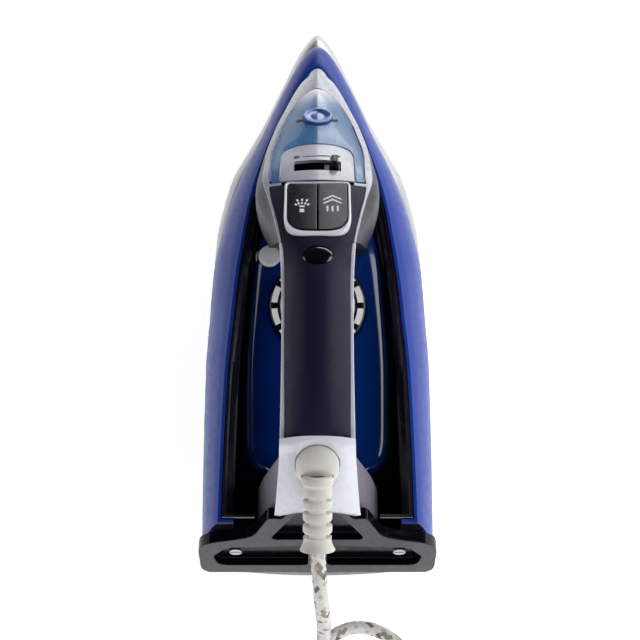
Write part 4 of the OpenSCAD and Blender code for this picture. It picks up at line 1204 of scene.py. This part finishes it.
# ---- Deck fittings ----
def dial():
    ring = [(0, -0.4), (DIAL_R - 0.5, -0.4), (DIAL_R, 0.1), (DIAL_R, 1.9), (DIAL_R - 0.35, 2.55),
            (DIAL_R - 0.9, 2.8), (DIAL_CAP_R + 0.6, 2.8), (DIAL_CAP_R + 0.3, 2.6), (DIAL_CAP_R - 1, 2.6),
            (0, 2.6)]
    body = lathe("dial_ring", ring, DIAL, 144)
    stem = lathe("stem", [(0, -36.4), (2.4, -36.4), (2.4, -0.3), (0, -0.3)], DIAL, 32)
    piece(joined("dial_body", [body, stem]), "dial", M["dial"], "temperature_dial", 0.15)
    arcs = []
    for a in range(-150, 181, 30):
        ang = [math.radians(a + 4 + 22 * t / 10) for t in range(11)]
        arcs.append([((DIAL_R - 0.9) * math.cos(t), (DIAL_R - 0.9) * math.sin(t)) for t in ang]
                    + [((DIAL_R - 3.9) * math.cos(t), (DIAL_R - 3.9) * math.sin(t)) for t in ang[::-1]])
    marks = joined("dial_print", [slab("a", line, 2.78, 2.92, DIAL) for line in arcs])
    piece(marks, "dial", M["scale"], "dial_scale")
    r = DIAL_CAP_R
    cap = lathe("dial_knob", [(0, 2.7), (r - 0.3, 2.7), (r, 3.0), (r, 3.7), (r - 0.35, 4.05), (r - 1.0, 4.15),
                              (r - 3, 4.2), (0, 4.2)], DIAL, 128)
    carve(cap, lathe("c", [(0, 3.7), (1.0, 3.7), (1.2, 4.4), (0, 4.4)], moved(DIAL, 0, r - 3), 32))
    piece(cap, "dial", M["dial_white"], "dial_cap")


def clean_key():
    r = CLEAN_R
    place = Matrix.Translation(CLEAN)
    shape = [(0, -14), (2.6, -14), (2.6, -2.4), (r, -2.4), (r, -0.2), (r - 0.2, 0.15), (r - 0.6, 0.38),
             (r - 1.6, 0.4), (2.5, 0.25), (0, 0.2)]
    piece(lathe("clean_key", shape, place, 64), "clean_plunger", M["dial_white"],
          "clean_button")


# ---- Rear rest ----
def heel_plate():
    half = [tuple(p) for p in smooth(HEEL_FOOT_EDGE + HEEL_EDGE, 4)]
    line = [(54, 0)] + half + [(-x, y) for x, y in half[-2::-1]] + [(-54, 0)]
    plate = slab("plate", line, -6, 0, HEEL)
    for s in (-1, 1):
        corners = [(s * 4.6, 9, 3), (s * 49, 9, 6), (s * 51, 19, 5), (s * 44, 29, 6), (s * 4.6, 31.5, 3)]
        carve(plate, slab("pocket", rounded(corners[::s], 8), -4, 5, HEEL))
    middle = rounded([(-23, 38.5, 3), (23, 38.5, 3), (10, 66, 6), (-10, 66, 6)], 8)
    carve(plate, slab("c", middle, -4, 5, HEEL))
    for s in (-1, 1):
        carve(plate, drill(1.6, -8, 2, moved(HEEL, s * 40, 20), 24))
    obj = joined("heel_rest", [plate, slab("foot", foot_outline(), 8.2, 20.2)])
    piece(obj, "housing", M["heel"], "heel", 1.1, 40, 3)
    paint(obj, M["heel_dark"], in_pocket)


def paint(obj, material, chosen):
    """Gives a second material to the faces that a test on their centre and normal picks."""
    obj.data.materials.append(material)
    for f in obj.data.polygons:
        if chosen(f.center / MM, f.normal):
            f.material_index = 1


def in_pocket(centre, _):
    p = HEEL.inverted() @ centre
    return -5.5 < p.z < -0.3 and abs(p.x) < 51.5 and 8 < p.y < 67


def at_rear(centre, normal):
    return centre.y < -130 and centre.z > 24 and abs(centre.x) < 50 and normal.y < -0.4


def foot_outline():
    """Rear foot of the heel: its rear edge is a shallow arc."""
    arc_r = 402
    front = [(x, -148.8) for x in (58, -58)]
    rear = [(x, max(-155 + arc_r - math.sqrt(arc_r**2 - x * x), -155)) for x in np.linspace(-58, 58, 41)]
    return front + [(float(x), float(y)) for x, y in rear]


# ---- Mains parts ----
def ball():
    arc = [(13.6 * math.cos(a), -9.4 + 13.6 * math.sin(a))
           for a in np.linspace(math.pi / 2, math.radians(46), 16)]
    arc = [(0 if i == 0 else x, z) for i, (x, z) in enumerate(arc)]
    skirt_line = [(9.8, arc[-1][1] - 0.5), (9.8, -8.9), (11.4, -8.9), (11.4, -10.8), (0, -10.8)]
    obj = lathe("swivel_ball", arc + skirt_line, SWIVEL, 96)
    carve(obj, drill(7.5, 3.3, 23, SLEEVE, 64))
    piece(obj, "cord_swivel", M["cream"], "cord_ball")


def sleeve():
    outer = [(3.55, 3.4), (6.0, 3.4), (6.9, 4.0), (7.2, 5.4), (7.1, 6.8), (6.5, 7.6), (6.35, 8.6)]
    z = 9.4
    while z < 27.5:
        outer += [(6.55, z), (6.62, z + 1.4), (6.5, z + 2.6), (6.0, z + 3.1), (5.9, z + 4.3), (6.4, z + 4.9)]
        z += 5.5
    outer += [(6.2, 32.2), (6.6, 34), (7.3, 35.6), (7.9, 36.6), (7.9, 36.9), (7.6, 37)]
    outer += [(4.4, 37), (3.6, 36.2), (3.55, 35)]
    obj = lathe("cord_sleeve", outer, SLEEVE, 72)
    cutters = []
    for k, zz in enumerate((12.6, 18.1, 23.6, 29.1)):
        side = 1 if k % 2 else -1
        for s in (-1, 1):
            w = 4.8 if s == side else 3.2
            line = rounded_box(s * 6.6 - w, zz, s * 6.6 + w, zz + 1.7, 0.5, 4)
            cutters.append(slab("c", line, -4.6, 4.6, SLEEVE @ QUARTER_X))
    carve(obj, *cutters)
    return piece(obj, "cord_swivel", M["cream"], "strain_relief", 0.2)


def make_plug():
    prof = [(0, 0), (17.2, 0), (17.8, 0.5), (18, 1.2), (18, 14.6), (17.7, 15.6), (16.4, 17), (14.4, 19.2),
            (12.8, 22), (12.0, 26), (11.4, 30), (10.8, 34), (9.8, 37), (8.2, 39)]
    z = 40.0
    while z < 54:
        prof += [(6.6 - (z - 40) * 0.1, z), (6.6 - (z - 40) * 0.1, z + 1.6), (5.4 - (z - 40) * 0.06, z + 1.9),
                 (5.4 - (z - 40) * 0.06, z + 2.8)]
        z += 3.2
    prof += [(4.9, 55.4), (4.6, 56), (3.6, 56), (3.55, 55.2), (3.55, 36), (0, 36)]
    obj = lathe("plug_shell", prof, PLUG, 96)
    cut = [drill(2.5, -1, 11, moved(PLUG, 0, 9), 32)]
    for s in (-1, 1):
        cut.append(drill(1.95, -1, 8, moved(PLUG, s * 9.5, 0), 32))
        cut.append(box_cutter("c", PLUG, (s * 18 - 2, -3.5, -1), (s * 18 + 2, 3.5, 13)))
    for k in range(-2, 3):
        for s in (-1, 1):
            cut.append(box_cutter("rib", moved(PLUG, s * 11.9, 0, 28 + 2.6 * k), (-0.7, -5, -0.6), (0.7, 5, 0.6)))
    carve(obj, *cut)
    piece(obj, "housing", M["plug"], "plug_body", 0.25)
    collar = [(18.0, 3.2), (18.0, 3.0), (17.7, 2.8), (17.7, 2.6), (18.0, 2.4), (17.4, 2.4), (17.4, 3.2)]
    ring = lathe("plug_collar", collar, PLUG, 96)
    piece(ring, "housing", M["plug"])
    return obj, ring


def tie():
    w, h = 3 * 7 + 2.2, 2 * 7 + 1.8
    loops = [rounded([(w / 2 - g, -h / 2 + g, 2.4), (w / 2 - g, h / 2 - g, 2.4), (-w / 2 + g, h / 2 - g, 2.4),
                      (-w / 2 + g, -h / 2 + g, 2.4)], 8) for g in (0, 0.7)]
    a = math.radians(235)
    place = Matrix.Translation((*COIL, 0)) @ Matrix.Rotation(a, 4, "Z")
    place = moved(place, COIL_R, 0, 7.9) @ QUARTER_X
    rows = [[(x, y, z) for x, y in loops[g]] for g, z in ((0, -3.4), (0, 3.4), (1, 3.4), (1, -3.4))]
    points = [p for r in rows for p in r]
    obj = outwards(mesh_object("coil_tie_band", points, strips(4, len(rows[0]), True), place))
    return piece(obj, "housing", M["tie"], "cord_tie", 0.2)


def flank_signs():
    """Faint pairs of rings with a drop or a wave in them, printed along the left flank."""
    place = Matrix(((0, 0, -1, 0), (-1, 0, 0, 0), (0, 1, 0, 0), (0, 0, 0, 1)))
    shapes = []
    for k, y in enumerate(SIGN_Y):
        for z in (33.0, 41.0):
            shapes.append(ring_part(-y, z, 4.2, 3.1))
            ang = np.linspace(0, 2 * math.pi, 24, endpoint=False)
            shapes.append([(-y + 1.5 * math.cos(a) * (1 + 0.35 * math.sin((k + 2) * a)),
                            z + 1.2 * math.sin(a)) for a in ang])
    obj = decal("flank_signs", tree_of(side), shapes, place, 0.05, 0.3, 120)
    return piece(obj, "housing", M["sign"])


def ring_part(u, v, a, b):
    """Open ring as one outline, with a hair gap so that it stays a simple shape."""
    ang = np.linspace(0.02, 2 * math.pi - 0.02, 36)
    outer = [(u + a * math.cos(t), v + b * math.sin(t)) for t in ang]
    inner = [(u + (a - 0.5) * math.cos(t), v + (b - 0.5) * math.sin(t)) for t in ang[::-1]]
    return outer + inner


# ---- Putting it together ----
side = shell()
flank_signs()
skirt()
rim()
deck_floor()
tank_top()
head_cheeks()
frame_skin()
nose_cover()
window_lines()
tray()
neck()
flap()
panel()
slider()
buttons()
soft_grip()
handle_body()
pillar()
dial()
clean_key()
heel_plate()
ball()
sleeve()
plug, plug_ring = make_plug()
coil_tie = tie()
make_cord()

CAD_LOOKS = {
    "sole": "soleplate", "casting": "heater_casting chamber_cover", "cheek": "thermostat",
    "steel": "heating_element chamber_screws spray_spring steam_spring clean_spring heel_screws",
    "inner_white": "thermal_fuse tank_seal drip_valve valve_rod spray_tube spray_pump steam_pump "
                   "clean_socket terminal_block",
    "tank": "tank_lower", "pearl": "spray_nozzle", "pillar": "filler_pin", "black": "slider_guide",
    "led": "pilot_light", "copper": "wire_loom", "brass": "plug_pins",
}
for look, node in [(look, node) for look, nodes in CAD_LOOKS.items() for node in nodes.split()]:
    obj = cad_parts[node]
    obj.data.materials.clear()
    obj.data.materials.append(M[look])
    for f in obj.data.polygons:
        f.use_smooth = True
    obj.data.set_sharp_from_angle(angle=math.radians(30))


# ---- Stage, lights and camera ----
def stage_floor():
    n = plastic_nodes("floor_white", "ffffff", 0.9, grain=0, peel=0, mottle=0.004)
    n.set(Emission_Color=(1, 1, 1, 1), Emission_Strength=0.72)
    far, low = 4000, -0.3
    obj = mesh_object("floor", [(-far, -far, low), (far, -far, low), (far, far, low), (-far, far, low)],
                      [(0, 1, 2, 3)])
    obj.data.materials.append(n.material)


def flag():
    """Dark card in front of the left half, seen in reflections alone."""
    left, y, high = -1700, 1250, 700
    obj = mesh_object("flag", [(left, y, 0), (0, y, 0), (0, y, high), (left, y, high)], [(0, 1, 2, 3)])
    obj.data.materials.append(plastic("flag_black", "060608", 0.9, grain=0, peel=0))
    obj.visible_camera = False
    obj.visible_shadow = False


def lamp(name, place, target, size, watts):
    data = bpy.data.lights.new(name, "AREA")
    data.shape = "RECTANGLE"
    data.size, data.size_y = size
    data.energy = watts
    obj = bpy.data.objects.new(name, data)
    obj.location = place
    way = Vector(target) - Vector(place)
    obj.rotation_euler = way.to_track_quat("-Z", "Y").to_euler()
    bpy.context.scene.collection.objects.link(obj)


def lights():
    lamp("front_panel", (0.62, 0.95, 0.26), (0.62, 0, 0.26), (1.24, 0.52), 7.5)
    lamp("right_box", (1.3, 0.1, 0.9), (0, -0.02, 0.05), (1.1, 1.4), 15)
    lamp("left_box", (-1.5, 0.2, 0.9), (0, -0.02, 0.05), (0.9, 1.2), 5)
    lamp("rear_box", (0, -1.5, 0.8), (0, -0.1, 0.06), (1.8, 0.7), 12)
    world = bpy.data.worlds.new("studio")
    world.use_nodes = True
    tree = world.node_tree
    way = tree.nodes.new("ShaderNodeTexCoord").outputs["Generated"]
    part = tree.nodes.new("ShaderNodeSeparateXYZ")
    fade = tree.nodes.new("ShaderNodeMapRange")
    tree.links.new(way, part.inputs[0])
    tree.links.new(part.outputs["Z"], fade.inputs["Value"])
    for socket, value in (("From Min", 0.35), ("From Max", 0.75), ("To Min", 0.42), ("To Max", 0.02)):
        fade.inputs[socket].default_value = value
    tree.links.new(fade.outputs[0], tree.nodes["Background"].inputs["Strength"])
    bpy.context.scene.world = world


def camera():
    data = bpy.data.cameras.new("camera")
    data.sensor_width = 36
    data.lens = 76.44
    data.shift_x = 0.0039
    data.clip_start, data.clip_end = 0.02, 30
    obj = bpy.data.objects.new("camera", data)
    obj.location = (0, -0.24498, 0.70574)
    obj.rotation_euler = (math.radians(18), 0, 0)
    bpy.context.scene.collection.objects.link(obj)
    bpy.context.scene.camera = obj


stage_floor()
flag()
lights()
camera()
bpy.context.scene.view_settings.view_transform = "Standard"
bpy.context.view_layer.update()
